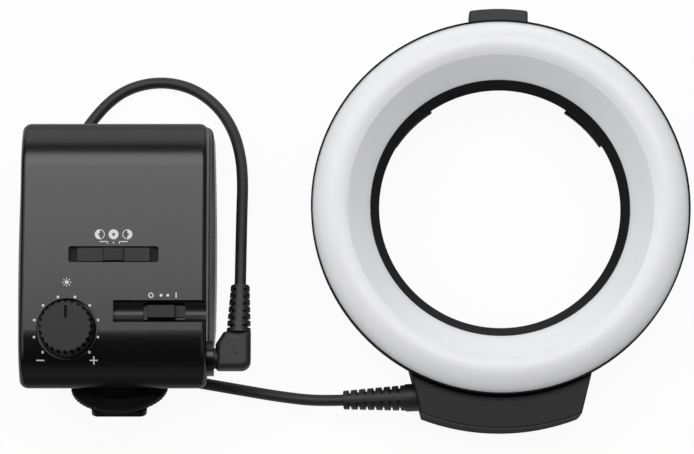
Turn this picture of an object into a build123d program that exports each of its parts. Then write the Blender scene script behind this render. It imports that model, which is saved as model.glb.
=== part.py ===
"""Ring light on its cord: a ring-shaped lamp for the front of a lens, a control
unit for the accessory shoe, and the cord between them, lying on a table.

The frame is in millimetres. The origin is the centre of the adapter bore at the
ring's rear face, which rests on the table (Z = 0). +Z looks out of the diffuser,
+Y points to the release button, and the control unit lies on the -X side.
"""
import os
from math import cos, radians, sin, tan

from build123d import *

os.makedirs("parts", exist_ok=True)

# clearances
fit_gap = 0.05          # pieces of one body that seat in each other
run_gap = 0.3           # pieces that move past each other
shaft_gap = 0.06        # a shaft in its bore
cut_over = 1.0          # how far a cut runs past the face that it opens

# ring: radii, from the adapter bore outwards
bore_r = 45.5
bore_wall = 1.5
lip_in = 4.3
bevel_w = 3.1
cone_w = 7.7
board_room = 2.5
board_w = 8.9
rim_room = 6.1
shoulder_in = 4.0
back_in = 7.5
lip_r = bore_r - lip_in
face_r = lip_r + bevel_w
crease_r = face_r + cone_w
board_in_r = bore_r + bore_wall + board_room
board_out_r = board_in_r + board_w
rim_r = board_out_r + rim_room
shoulder_r = rim_r - shoulder_in
back_r = rim_r - back_in

# ring: heights, from the front edge of the barrel
face_z = 22.0
lip_drop = 3.4
cone_h = 5.6
rim_drop = 1.6
lip_z = face_z - lip_drop
crease_z = face_z + cone_h
rim_top = crease_z - rim_drop

# ring: rim and rear housing
rim_band = 4.0
rim_lip = 0.5
shoulder_z = 3.5
ring_wall = 2.0
back_wall = 2.0
low_corner_in = 0.7     # how far the two low corners move with the wall, as shares of it
low_corner_up = 0.3
seat_depth = 2.4
lip_t = 1.0
lip_edge = 0.4
window_reach = 8.0

# ring: bayonet lugs that hold the adapter
lug_count = 4
lug_angle = 23.5
lug_r = bore_r - 3.7
lug_z = 9.5
lug_t = 2.2

# ring: diffuser
diffuser_wall = 2.0
crown_rise = 1.8
crease_fill = 1.05

# ring: lamp board, lamps and reflector
board_t = 1.6
board_z = 13.4
led_rows = ((2.4, 28), (5.5, 32))       # out from the board's inner edge, number of lamps
led_size = 2.8
led_h = 1.0
tray_t = 0.8
tray_floor_r = board_in_r + 8.0
tray_out_top_r = tray_floor_r + 2.9
tray_in_top_r = board_in_r - 1.6
tray_top_z = rim_top - 3.4
tray_in_top_z = face_z - 0.8
tray_boss_h = 3.0

# ring: screws from the back
ring_screw_count = 4
ring_screw_r = board_in_r + 6.7
ring_screw_d = 2.0
ring_head_d = 3.8
ring_head_h = 1.4
ring_boss_d = 4.4
screw_cross_l = 2.1
screw_cross_w = 0.5
head_recess = 0.3

# ring: block below the rim
block_bottom_r = rim_r + 11.1
block_top_half = 30.5
block_top_y = -rim_r + 7.5
block_low_half = 27.0
block_low_y = -rim_r - 6.3
block_cover_t = 2.5
block_face_z = rim_top - rim_band
block_seam_z = block_face_z - block_cover_t
block_groove = 0.6
block_corner = 0.8
block_min_corner = 0.4
block_high_y = block_top_y + 17.0
block_wall = 1.8
block_draft = 0.3
block_foot_z = 8.0
driver_board_z = 5.0
driver_board_t = 1.2
driver_cap = ((6.0, -2.0), 5.6, 4.5)            # place from between the posts, diameter, height
driver_chips = ((-3.0, -2.0, 5.0, 5.0), (20.0, 2.0, 4.0, 3.0))      # place, two sides
small_parts = ((-9.0, -1.0), (-9.0, -3.5))
chip_h = 1.2
small_part = (2.0, 1.2)
small_part_h = 0.8
block_post_x = 14.0
block_post_y = -rim_r - 1.0
cover_chamfer = 0.4
tongue_h = 1.6
tongue_w = 1.0
wire_way_w = 8.0
wire_way_h = 5.0
wire_way_z = 9.0

# ring: release button, yoke and spring
button_w = 20.2
button_r = rim_r + 5.1
button_in_r = rim_r - 0.9
button_travel = 2.0
button_chamfer = 0.5
yoke_w = 2.8
yoke_t = 1.5
yoke_z = 2.5
leg_w = 11.0
leg_reach = 1.2
leg_t = 1.8
bridge_t = 2.8
hook_w = 10.0
hook_r = bore_r - 1.3
hook_h = 3.0
button_spring_d = 4.0
button_spring_wire = 0.5
button_low = board_z - bridge_t - 2 * run_gap
button_top = block_face_z - 1.0

# control unit: battery compartment, cells and door, from the door upwards
cell_d = 14.5
cell_l = 50.5
cell_gap = 0.4
cell_lift = 0.35
cell_nub_d = 5.5
cell_nub_h = 1.0
cell_spring_d = 8.0
cell_spring_wire = 0.7
cell_spring_l = 3.8
contact_t = 0.4
contact_w = 10.0
door_t = 1.5
door_lift = 0.3
door_tongue = 0.6
door_gap = 0.15
door_ribs = 7
door_rib_l = 14.0
door_rib_w = 0.8
door_rib_h = 0.35
hump_wall = 1.2
hump_corner = 5.0
hump_in_corner = 2.4
hump_half = cell_d + cell_gap / 2 + run_gap + hump_wall
hump_low_y = -43.0
hump_high_y = hump_low_y + cell_l + 2 * hump_wall + 2 * contact_t + cell_spring_l
door_rib_y = hump_low_y + 12.0
cell_low_z = door_lift + door_t + cell_lift + cell_d / 2
cell_row_z = (cell_low_z, cell_low_z + cell_d + cell_gap)
holder_wall = 0.8
holder_room = 0.65
holder_top = cell_row_z[1] + cell_d / 2 + holder_room + holder_wall

# control unit: outline
unit_x = -130.5
unit_l = 90.45
unit_bottom = -63.65
unit_top = unit_bottom + unit_l
plan_over = 0.8         # how far the plan runs past the slanted bottom, which cuts it
unit_mid_y = (unit_top + unit_bottom - plan_over) / 2
front_half = 31.4
rear_half = front_half + 2.1
rear_bow = 1.0
corner_r = 3.0
main_board_z = holder_top + 0.4
panel_z = main_board_z + 6.6
back_z = 5.0
top_bend_y = unit_top - 15.8
top_edge_z = panel_z - 7.0
low_bend_y = unit_bottom + 18.95
low_edge_z = panel_z - 10.0
lean = 38.0
seam_z = back_z + 18.0
seam_gap = 0.5
rear_overhang = 1.4
mouth_gap = 0.35
mouth_depth = 1.2
shoulder_land = 0.35
tongue_drop = 2.0
tongue_t = 1.0
tongue_low_y = unit_bottom + 13.65
shoulder_drop = 3.0
shell_wall = 2.0
edge_round = 2.2
bend_reach = 75.0
slant_reach = 90.0
arch_w = 32.0
arch_h = 0.7

# control unit: brightness dial
dial_x = unit_x - front_half + 16.4
dial_y = unit_bottom + 19.45
dial_well_r = 10.2
dial_well_z = panel_z - 2.6
well_floor = 1.0
well_wall = 1.0
dial_base_r = 9.6
dial_top_r = 8.7
dial_h = 8.3
dial_low = dial_well_z + run_gap
dial_top = dial_low + dial_h
dial_scallops = 24
scallop_d = 1.2
scallop_r = 8.6
scallop_h = 3.6
pointer_w = 1.0
pointer_in = 2.8
pointer_out = 7.0
pointer_depth = 0.8
dial_edge = 0.3
shaft_d = 6.0
pot_size = 9.6
pot_top = dial_well_z - well_floor - run_gap
hub_r = 4.4
skirt_t = 1.4
hub_depth = 5.0

# control unit: position switch
pos_x = unit_x + 0.2
pos_y = unit_bottom + 44.55
pos_slot_l = 30.1
pos_slot_w = 5.4
pos_slot_depth = 1.6
pos_slot_corner = 0.8
pos_floor_t = 0.9
pos_slider_l = 24.1
pos_slider_w = 4.5
pos_slider_t = 0.8
pos_knob_l = 6.9
pos_knob_h = 1.1
pos_travel = 1.9
pos_body_l = 14.0
pos_body_w = 6.4
pos_grooves = 5
pos_groove_d = 0.2
pos_dot_w = 0.8
grip_w = 0.4
grip_edge = 0.2
stem_l = 4.0
stem_w = 2.0
switch_floor = 0.6

# control unit: power switch
pow_x = unit_x + front_half - 15.15
trough_left = pow_x - 15.95
trough_y = unit_bottom + 25.35
trough_w = 7.4
trough_depth = 2.4
pow_knob_l = 9.3
pow_knob_w = 4.4
pow_plate_w = 3.2
slide_gap = 0.2
pow_well_l = 14.0
pow_well_w = 5.6
pow_well_corner = 0.6
pow_undercut = 1.0
pow_floor_z = panel_z - 4.0
pow_floor_t = 0.7
pow_plate_t = 0.6
pow_plate_right = 3.0
pow_top = panel_z - 0.3
pow_ribs = 8
pow_body_l = 10.0
pow_body_w = 5.0
pow_travel = 2.1

# control unit: boards and switches
main_board_t = 1.2
main_half = front_half - shell_wall - 6.0
main_low_y = unit_bottom + 12.15
main_high_y = unit_top - 6.3
main_post_d = 5.0
main_post_x = main_half - 2.9
main_post_y = (main_low_y + 22.5, main_high_y - 4.0)
main_screw_l = 2.6
board_chips = ((8.2, 3.0, 9.0, 9.0), (-8.8, -2.0, 6.0, 5.0))    # from the middle: x, y, two sides
board_cap = ((-8.8, 8.0), 6.0)
board_chip_h = 1.6
board_parts = ((17.2, 2.0), (17.2, 5.0), (-0.8, -6.0), (3.2, -6.0), (-17.8, -14.0))

# control unit: screws from the back
shell_screw_x = front_half - 5.2
shell_screw_y = (hump_low_y + 15.0, hump_high_y - 0.5)
shell_boss_d = 5.6
shell_head_z = seam_z - 6.4
shell_screw_end = seam_z + 7.0

# control unit: cord socket
jack_y = unit_bottom + 11.05
jack_z = low_edge_z - 3.0
jack_r = 3.4
jack_l = 12.5
jack_boss_r = 6.0

# shoe foot
foot_aside = 1.4
foot_drop = 10.15
flange_r = 9.4
flange_t = 3.3
wheel_near = flange_t + 0.7
wheel_far = wheel_near + 3.0
wheel_band = 1.2
wheel_r = 16.4
wheel_low_r = 12.4
wheel_knurls = 60
knurl_depth = 0.45
insert_r = 7.6
washer_r = 10.5
washer_t = 0.6
washer_near = wheel_far + 0.1
foot_screws_at = ((-6.6, -4.0), (6.6, -4.0), (-6.6, 5.0), (6.6, 5.0))
stem_r = 5.6
shoe_gap = 1.7
plate_t = 1.8
plate_w = 18.6
plate_l = 18.0
plate_corner = 2.4
bracket_w = 22.0
bracket_l = 16.0
bracket_t = 1.6
foot_screw_depth = 2.4

# plug and cord
cord_d = 3.9
barrel_r = 4.1
plug_nub_r = 3.5
plug_nub_l = 0.6
plug_right = unit_x + rear_half + 12.4
plug_high_y = jack_y + 8.9
plug_shoulder = 0.8
plug_dimple = ((-4.9, 1.4), 0.5, 0.6)           # place from plug_right and jack_y, radius, depth
plug_corner = 3.3
plug_small_corner = 1.2
plug_edge = 2.2
plug_slant = 4.3
tip_r = 1.75
tip_l = 9.0
tip_edge = 0.6
relief_low_r = 4.1
relief_high_r = 3.2
relief_rows = 6
neck_flange_over = 1.0
slot_w = 1.0
slot_depth = 1.0
slot_band = 2.4
boot_in = Vector(-28.6, block_post_y + 1.3, 13.0)
boot_in_r = 4.4
boot_out_r = 3.2
boot_rows = 7
collar_r = 4.7
collar_l = 3.6
neck_r = 3.2
neck_groove_r = 2.4
neck_flange_t = 1.2
retainer_at = -4.3
retainer_t = 1.0
retainer_size = 8.0

# the cord's route from the boot to the plug
cord_points = [Vector(*point) for point in (
    (-53.2, -64.7, 9.4), (-62.0, -64.88, 8.11), (-73.2, -63.4, 5.7), (-84.6, -61.3, 3.6),
    (-96.3, -59.1, 2.3), (-108.2, -57.0, 2.0), (-120.4, -55.5, 2.0), (-132.1, -55.3, 2.0),
    (-143.1, -53.5, 2.0), (-152.0, -47.2, 2.0), (-157.3, -38.0, 2.0), (-159.9, -27.0, 2.0),
    (-160.3, -15.4, 2.0), (-159.0, -3.6, 2.0), (-156.0, 8.0, 2.0), (-151.0, 19.2, 2.0),
    (-144.1, 29.5, 2.0), (-137.0, 39.1, 2.0), (-128.7, 45.5, 2.0), (-117.6, 48.0, 2.0),
    (-106.5, 45.8, 2.3), (-97.6, 39.3, 3.5), (-91.8, 30.3, 6.0), (-88.9, 20.2, 9.5),
    (-88.0, 10.2, 13.3), (-88.15, -1.2, 17.8), (-88.2, -14.3, 22.4), (-88.3, -28.0, 25.4))]


# axes of the foot: "away" runs from the body to the camera, "forward" lies in the
# slanted bottom plane and points at the front of the panel
foot_away = Vector(0, -cos(radians(lean)), -sin(radians(lean)))
foot_forward = Vector(0, -sin(radians(lean)), cos(radians(lean)))
foot_centre = Vector(unit_x + foot_aside, unit_bottom, low_edge_z) - foot_forward * foot_drop


def foot_plane(distance):
    """Plane square to the foot's axis, that far from the slanted bottom."""
    return Plane(origin=foot_centre + foot_away * distance, x_dir=(1, 0, 0), z_dir=foot_away)


def radial_plane(angle):
    """Upright plane through the ring's axis, its X axis pointing outwards at that angle."""
    a = radians(angle)
    return Plane(origin=(0, 0, 0), x_dir=(cos(a), sin(a), 0), z_dir=(sin(a), -cos(a), 0))


def square_plane(origin, way, near):
    """Plane square to a direction, its X axis turned as near to another one as it goes."""
    way = way.normalized()
    return Plane(origin=origin, x_dir=near - way * near.dot(way), z_dir=way)


boot_axis = (cord_points[0] - boot_in).normalized()
boot_l = (cord_points[0] - boot_in).length


def boot_plane(distance):
    """Plane square to the cord's boot, that far out from the block's side."""
    return square_plane(boot_in + boot_axis * distance, boot_axis, Vector(0, 1, 0))


def relief_slots(low, high, low_way, high_way, low_r, high_r, rows, near):
    """Slots across a strain relief, on both sides of an uncut band that faces up."""
    with BuildPart() as slots:
        for row in range(rows):
            share = (row + 0.75) / (rows + 0.5)
            way = low_way * (1 - share) + high_way * share
            with BuildSketch(square_plane(low + (high - low) * share, way, near)):
                Circle(low_r + 1)
                Circle(low_r + (high_r - low_r) * share - slot_depth, mode=Mode.SUBTRACT)
                Rectangle(slot_band, 4 * low_r, mode=Mode.SUBTRACT)
            extrude(amount=slot_w / 2, both=True)
    return slots.part


# outline and side profile of the control unit
top_bend_r = ((unit_top - top_bend_y) ** 2 + (panel_z - top_edge_z) ** 2) / (2 * (panel_z - top_edge_z))
low_bend_r = ((unit_bottom - low_bend_y) ** 2 + (panel_z - low_edge_z) ** 2) / (2 * (panel_z - low_edge_z))
top_bend_centre = Vector(top_bend_y, panel_z - top_bend_r)
low_bend_centre = Vector(low_bend_y, panel_z - low_bend_r)


def unit_plan(half, high_y, bow=0, corner=0):
    """Outline of the control unit: straight ends, sides straight or bowed outwards."""
    left = unit_x - half
    right = unit_x + half
    low_y = 2 * unit_mid_y - high_y
    with BuildSketch() as plan:
        with BuildLine():
            if bow:
                ThreePointArc((right - bow, low_y), (right, unit_mid_y), (right - bow, high_y))
                ThreePointArc((left + bow, high_y), (left, unit_mid_y), (left + bow, low_y))
            else:
                Line((right, low_y), (right, high_y))
                Line((left, high_y), (left, low_y))
            Line((right - bow, high_y), (left + bow, high_y))
            Line((left + bow, low_y), (right - bow, low_y))
        make_face()
        if corner:
            fillet(plan.vertices(), corner)
    return plan.sketch


def bend_point(centre, radius, angle):
    """Point of a bend, Y and Z, that many degrees round from its highest place."""
    return centre.X + sin(radians(angle)) * radius, centre.Y + cos(radians(angle)) * radius


def unit_side(inset):
    """Side profile, Y and Z, drawn in by inset: panel, both bends, slanted bottom, back."""
    top_r = top_bend_r - inset
    low_r = low_bend_r - inset
    top_end = bend_point(top_bend_centre, top_r, bend_reach)
    low_end = bend_point(low_bend_centre, low_r, -bend_reach)
    # slanted bottom, from beyond the low bend to the back
    slant = Vector(foot_forward.Y, foot_forward.Z)
    slant_point = Vector(unit_bottom, low_edge_z) - Vector(foot_away.Y, foot_away.Z) * inset
    front = slant_point + slant * slant_reach
    back = slant_point - slant * slant_reach
    with BuildSketch() as side:
        with BuildLine():
            ThreePointArc(top_end, bend_point(top_bend_centre, top_r, bend_reach / 2),
                          (top_bend_y, panel_z - inset))
            Line((top_bend_y, panel_z - inset), (low_bend_y, panel_z - inset))
            ThreePointArc((low_bend_y, panel_z - inset), bend_point(low_bend_centre, low_r, -bend_reach / 2),
                          low_end)
            Polyline(low_end, (low_end[0], back_z + inset), (top_end[0], back_z + inset), top_end)
        make_face()
        with BuildLine():
            Polyline((front.X, front.Y), (back.X, back.Y), (slant_reach, back.Y), (slant_reach, front.Y),
                     close=True)
        make_face(mode=Mode.INTERSECT)
    return side.sketch


def unit_form(half, high_y, inset, low_z, high_z, corner, bow=0, rounding=0):
    """Slab of the control unit's form between two heights, corners and front edges rounded."""
    with BuildPart() as form:
        with BuildSketch(Plane.XY.offset(low_z)):
            add(unit_plan(half, high_y, bow))
        extrude(amount=high_z - low_z)
        with BuildSketch(Plane.YZ.offset(unit_x)):
            add(unit_side(inset))
        extrude(amount=half + 5, both=True, mode=Mode.INTERSECT)
        corners = form.edges().filter_by(lambda e: abs(e.center().X - unit_x) > half - 5)
        corners = corners.filter_by(lambda e: abs(e.center().Y - unit_mid_y) > 30)
        corners = corners.filter_by(lambda e: low_z + 0.5 < e.center().Z < low_edge_z + 1)
        fillet(corners, corner)
        if rounding:
            rims = form.edges().filter_by(lambda e: e.center().Z > low_edge_z - 0.5)
            rims = rims.filter_by(Axis.Z, reverse=True)
            rims = rims.filter_by(lambda e: abs(e.center().X - unit_x) > 1 or e.center().Z < panel_z - 1)
            fillet(rims, rounding)
    return form.part


# ring light unit

def block_plan(inset, inner_r):
    """Outline of the block below the rim, drawn in by inset, outside inner_r."""
    side_run = (block_top_half - block_low_half) / (block_top_y - block_low_y)
    low_y = -block_bottom_r - cut_over
    high_half = block_top_half + side_run * (block_high_y - block_top_y) - inset
    low_half = block_top_half + side_run * (low_y - block_top_y) - inset
    with BuildSketch() as plan:
        with BuildLine():
            Polyline((high_half, block_high_y), (-high_half, block_high_y), (-low_half, low_y),
                     (low_half, low_y), close=True)
        make_face()
        Circle(block_bottom_r - inset, mode=Mode.INTERSECT)
        Circle(inner_r, mode=Mode.SUBTRACT)
        low_corners = plan.vertices().sort_by(Axis.Y)[:2]
        fillet(low_corners, max(block_corner - inset, block_min_corner))
    return plan.sketch


def ring_solid(inset):
    """The rear housing's outer form as a full solid of revolution, drawn in by inset."""
    with BuildPart() as solid:
        with BuildSketch(Plane.XZ):
            with BuildLine():
                Polyline((0, inset), (back_r - inset * low_corner_in, inset),
                         (shoulder_r - inset, shoulder_z + inset * low_corner_up),
                         (rim_r - inset, rim_top - rim_band), (rim_r - inset, rim_top), (0, rim_top), close=True)
            make_face()
        revolve(axis=Axis.Z)
    return solid.part


def block_solid(inset, floor_z, top_z):
    """The block's outer form, drawn in by inset: drafted low down, upright above."""
    with BuildPart() as solid:
        with BuildSketch(Plane.XY.offset(floor_z)):
            add(block_plan(inset + block_draft, bore_r + bore_wall))
        with BuildSketch(Plane.XY.offset(block_foot_z)):
            add(block_plan(inset, bore_r + bore_wall))
        loft()
        with BuildSketch(Plane.XY.offset(block_foot_z)):
            add(block_plan(inset, bore_r + bore_wall))
        extrude(amount=top_z - block_foot_z)
    return solid.part


def block_hollow():
    """The room inside the block, outside the ring's own wall."""
    with BuildPart() as hollow:
        add(block_solid(block_wall, back_wall, block_seam_z))
        add(ring_solid(0), mode=Mode.SUBTRACT)
    return hollow.part


seat_z = rim_top - seat_depth
bottom_rest = bore_r + bore_wall + fit_gap
with BuildPart() as ring_rear_housing:
    add(ring_solid(0))
    add(block_solid(0, 0, block_seam_z))
    add(ring_solid(ring_wall), mode=Mode.SUBTRACT)
    add(block_hollow(), mode=Mode.SUBTRACT)
    # step that the diffuser's edge sits in, inside the thin rim
    with BuildSketch(Plane.XY.offset(seat_z)):
        Circle(rim_r - rim_lip)
    extrude(amount=rim_top, mode=Mode.SUBTRACT)
    with BuildSketch():
        Circle(bottom_rest)
    extrude(amount=back_wall, mode=Mode.SUBTRACT)
    # bosses that carry the lamp board
    with BuildSketch(Plane.XY.offset(back_wall)):
        with PolarLocations(ring_screw_r, ring_screw_count, start_angle=45):
            Circle(ring_boss_d / 2)
    extrude(amount=board_z - back_wall)
    with Locations(Plane.XY):
        with PolarLocations(ring_screw_r, ring_screw_count, start_angle=45):
            Hole(ring_screw_d / 2 + fit_gap)
    with BuildSketch():
        with PolarLocations(ring_screw_r, ring_screw_count, start_angle=45):
            Circle(ring_head_d / 2 + fit_gap)
    extrude(amount=head_recess + ring_head_h, mode=Mode.SUBTRACT)
    # posts and screw holes under the driver board
    with BuildSketch(Plane.XY.offset(back_wall)):
        with Locations((-block_post_x, block_post_y), (block_post_x, block_post_y)):
            Circle(ring_boss_d / 2)
    extrude(amount=driver_board_z - back_wall)
    with BuildSketch():
        with Locations((-block_post_x, block_post_y), (block_post_x, block_post_y)):
            Circle(ring_screw_d / 2 + fit_gap)
    extrude(amount=driver_board_z, mode=Mode.SUBTRACT)
    with BuildSketch():
        with Locations((-block_post_x, block_post_y), (block_post_x, block_post_y)):
            Circle(ring_head_d / 2 + fit_gap)
    extrude(amount=head_recess + ring_head_h, mode=Mode.SUBTRACT)
    # window for the release button
    button_window_z = (button_low + button_top) / 2
    with Locations((0, rim_r, button_window_z)):
        Box(button_w + 2 * run_gap, 2 * window_reach, button_top - button_low + 2 * run_gap,
            mode=Mode.SUBTRACT)
    # way for the cord into the block, and the wires from the block into the ring
    with BuildSketch(boot_plane(-2 * collar_l)):
        Circle(neck_r + fit_gap)
    extrude(amount=4 * collar_l, mode=Mode.SUBTRACT)
    with Locations((0, -rim_r, wire_way_z)):
        Box(wire_way_w, 2 * window_reach, wire_way_h, mode=Mode.SUBTRACT)
ring_rear_housing.part.label = "ring_rear_housing"
export_step(ring_rear_housing.part, "parts/ring_rear_housing.step")

with BuildPart() as inner_barrel:
    shelf_z = face_z - diffuser_wall
    with BuildSketch(Plane.XZ):
        with BuildLine():
            Polyline((bore_r, 0), (bore_r + bore_wall, 0), (bore_r + bore_wall, shelf_z), (face_r, shelf_z),
                     (face_r, face_z), (lip_r, lip_z + lip_edge), (lip_r, lip_z),
                     (lip_r + lip_t, lip_z - lip_t), (bore_r, lip_z - lip_t), close=True)
        make_face()
    revolve(axis=Axis.Z)
    # bayonet lugs inside the bore
    for lug in range(lug_count):
        with BuildSketch(radial_plane(45 + lug * 360 / lug_count - lug_angle / 2)):
            with Locations(((lug_r + bore_r + bore_wall / 2) / 2, lug_z + lug_t / 2)):
                Rectangle(bore_r + bore_wall / 2 - lug_r, lug_t)
        revolve(axis=Axis.Z, revolution_arc=lug_angle)
    # slot that the yoke's hook reaches through
    with Locations((0, -bore_r, yoke_z + hook_h / 2)):
        Box(hook_w + 2 * run_gap, 4 * bore_wall, hook_h + 2 * run_gap, mode=Mode.SUBTRACT)
inner_barrel.part.label = "inner_barrel"
export_step(inner_barrel.part, "parts/inner_barrel.step")

# diffuser: a cone up to the crease, then a low crown out to the rim
crease = Vector(crease_r, crease_z)
crown_end = Vector(rim_r - rim_lip - fit_gap, rim_top - rim_lip)
crown_run = crown_end - crease
crown_up = Vector(-crown_run.Y, crown_run.X).normalized()
crown_mid = (crease + crown_end) * 0.5 + crown_up * crown_rise
cone_run = crease - Vector(face_r, face_z)
cone_up = Vector(-cone_run.Y, cone_run.X).normalized()
crease_under = crease - (cone_up + crown_up).normalized() * diffuser_wall * crease_fill
with BuildPart() as diffuser:
    with BuildSketch(Plane.XZ):
        with BuildLine():
            Line((face_r, face_z), (crease.X, crease.Y))
            ThreePointArc((crease.X, crease.Y), (crown_mid.X, crown_mid.Y), (crown_end.X, crown_end.Y))
            Line((crown_end.X, crown_end.Y), (crown_end.X, seat_z))
            Line((crown_end.X, seat_z), (crown_end.X - diffuser_wall, seat_z))
            under_mid = crown_mid - crown_up * diffuser_wall
            ThreePointArc((crown_end.X - diffuser_wall, seat_z), (under_mid.X, under_mid.Y),
                          (crease_under.X, crease_under.Y))
            under_foot = Vector(face_r, face_z) - cone_up * diffuser_wall
            Line((crease_under.X, crease_under.Y), (under_foot.X, under_foot.Y))
            Line((under_foot.X, under_foot.Y), (under_foot.X, shelf_z))
            Line((under_foot.X, shelf_z), (face_r, shelf_z))
            Line((face_r, shelf_z), (face_r, face_z))
        make_face()
    revolve(axis=Axis.Z)
diffuser.part.label = "diffuser"
export_step(diffuser.part, "parts/diffuser.step")

with BuildPart() as led_ring_board:
    with BuildSketch(Plane.XY.offset(board_z)):
        Circle(board_out_r)
        Circle(board_in_r, mode=Mode.SUBTRACT)
        with PolarLocations(ring_screw_r, ring_screw_count, start_angle=45):
            Circle(ring_screw_d / 2 + fit_gap, mode=Mode.SUBTRACT)
    extrude(amount=board_t)
led_ring_board.part.label = "led_ring_board"
export_step(led_ring_board.part, "parts/led_ring_board.step")

board_top = board_z + board_t
with BuildPart() as leds:
    for row_out, row_count in led_rows:
        with BuildSketch(Plane.XY.offset(board_top)):
            with PolarLocations(board_in_r + row_out, row_count, start_angle=180 / row_count):
                Rectangle(led_size, led_size)
        extrude(amount=led_h)
leds.part.label = "leds"
export_step(leds.part, "parts/leds.step")

with BuildPart() as reflector_tray:
    with BuildSketch(Plane.XZ):
        with BuildLine():
            Polyline((board_in_r, board_top), (tray_floor_r, board_top), (tray_out_top_r, tray_top_z),
                     (tray_out_top_r - tray_t, tray_top_z), (tray_floor_r - tray_t, board_top + tray_t),
                     (board_in_r + tray_t, board_top + tray_t), (tray_in_top_r + tray_t, tray_in_top_z),
                     (tray_in_top_r, tray_in_top_z), close=True)
        make_face()
    revolve(axis=Axis.Z)
    with BuildSketch(Plane.XY.offset(board_top)):
        with PolarLocations(ring_screw_r, ring_screw_count, start_angle=45):
            Circle(ring_boss_d / 2)
    extrude(amount=tray_boss_h)
    for row_out, row_count in led_rows:
        with BuildSketch(Plane.XY.offset(board_top)):
            with PolarLocations(board_in_r + row_out, row_count, start_angle=180 / row_count):
                Rectangle(led_size + 2 * run_gap, led_size + 2 * run_gap)
        extrude(amount=tray_t, mode=Mode.SUBTRACT)
    with Locations((0, 0, board_top)):
        with PolarLocations(ring_screw_r, ring_screw_count, start_angle=45):
            Cylinder(ring_screw_d / 2, 3 * tray_boss_h, mode=Mode.SUBTRACT)
reflector_tray.part.label = "reflector_tray"
export_step(reflector_tray.part, "parts/reflector_tray.step")

with BuildPart() as ring_screws:
    with BuildSketch(Plane.XY.offset(head_recess)):
        with PolarLocations(ring_screw_r, ring_screw_count, start_angle=45):
            Circle(ring_head_d / 2)
    extrude(amount=ring_head_h)
    with BuildSketch(Plane.XY.offset(head_recess)):
        with PolarLocations(ring_screw_r, ring_screw_count, start_angle=45):
            Circle(ring_screw_d / 2)
    extrude(amount=board_top + tray_boss_h - 2 * head_recess)
    with BuildSketch(Plane.XY.offset(head_recess)):
        with PolarLocations(ring_screw_r, ring_screw_count, start_angle=45):
            Rectangle(screw_cross_l, screw_cross_w)
            Rectangle(screw_cross_w, screw_cross_l)
    extrude(amount=ring_head_h / 2, mode=Mode.SUBTRACT)
ring_screws.part.label = "ring_screws"
export_step(ring_screws.part, "parts/ring_screws.step")

# release button, its yoke round the barrel, and the return spring
yoke_in_r = bore_r + bore_wall + button_travel + 2 * run_gap
yoke_out_r = yoke_in_r + yoke_w
leg_in_y = yoke_out_r + leg_reach
with BuildPart() as release_button:
    with BuildSketch(Plane.XY.offset(button_low)):
        with Locations((0, button_r)):
            Rectangle(button_w, 2 * (button_r - button_in_r))
        Circle(button_r, mode=Mode.INTERSECT)
    extrude(amount=button_top - button_low)
    outer_edges = release_button.edges().filter_by(lambda e: e.center().Y > button_in_r + 1)
    chamfer(outer_edges, button_chamfer)
release_button.part.label = "release_button"
export_step(release_button.part, "parts/release_button.step")

with BuildPart() as release_yoke:
    with BuildSketch(Plane.XY.offset(yoke_z)):
        Circle(yoke_out_r)
        with Locations((0, (yoke_in_r + leg_in_y + leg_t) / 2)):
            Rectangle(leg_w, leg_in_y + leg_t - yoke_in_r)
        Circle(yoke_in_r, mode=Mode.SUBTRACT)
    extrude(amount=yoke_t)
    with BuildSketch(Plane.XY.offset(yoke_z)):
        with Locations((0, leg_in_y + leg_t / 2)):
            Rectangle(leg_w, leg_t)
    extrude(amount=button_low + bridge_t - yoke_z)
    with BuildSketch(Plane.XY.offset(button_low)):
        with Locations((0, (leg_in_y + button_in_r) / 2)):
            Rectangle(leg_w, button_in_r - leg_in_y)
    extrude(amount=bridge_t)
    # hook that holds the adapter at the bottom of the bore
    with BuildSketch(Plane.XY.offset(yoke_z)):
        with Locations((0, -(hook_r + yoke_in_r + yoke_w / 2) / 2)):
            Rectangle(hook_w, yoke_in_r + yoke_w / 2 - hook_r)
    extrude(amount=hook_h)
release_yoke.part.label = "release_yoke"
export_step(release_yoke.part, "parts/release_yoke.step")

spring_from = bore_r + bore_wall + fit_gap
with BuildPart() as button_spring:
    with BuildSketch(Plane.XZ.offset(-spring_from)):
        with Locations((0, (yoke_z + yoke_t + button_low) / 2)):
            Circle(button_spring_d / 2)
            Circle(button_spring_d / 2 - button_spring_wire, mode=Mode.SUBTRACT)
    extrude(amount=-(leg_in_y - fit_gap - spring_from))
button_spring.part.label = "button_spring"
export_step(button_spring.part, "parts/button_spring.step")

# driver board in the block, with its parts
with BuildPart() as driver_board:
    with BuildSketch(Plane.XY.offset(driver_board_z)):
        add(block_plan(2 * block_wall, shoulder_r + block_wall))
        with Locations((-block_post_x, block_post_y), (block_post_x, block_post_y)):
            Circle(ring_screw_d / 2 + fit_gap, mode=Mode.SUBTRACT)
    extrude(amount=driver_board_t)
driver_board.part.label = "driver_board"
export_step(driver_board.part, "parts/driver_board.step")

driver_top = driver_board_z + driver_board_t
with BuildPart() as driver_components:
    with BuildSketch(Plane.XY.offset(driver_top)):
        with Locations((driver_cap[0][0], block_post_y + driver_cap[0][1])):
            Circle(driver_cap[1] / 2)
    extrude(amount=driver_cap[2])
    with BuildSketch(Plane.XY.offset(driver_top)):
        for x, y, across, along in driver_chips:
            with Locations((x, block_post_y + y)):
                Rectangle(across, along)
    extrude(amount=chip_h)
    with BuildSketch(Plane.XY.offset(driver_top)):
        with Locations(*[(x, block_post_y + y) for x, y in small_parts]):
            Rectangle(*small_part)
    extrude(amount=small_part_h)
driver_components.part.label = "driver_components"
export_step(driver_components.part, "parts/driver_components.step")

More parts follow.
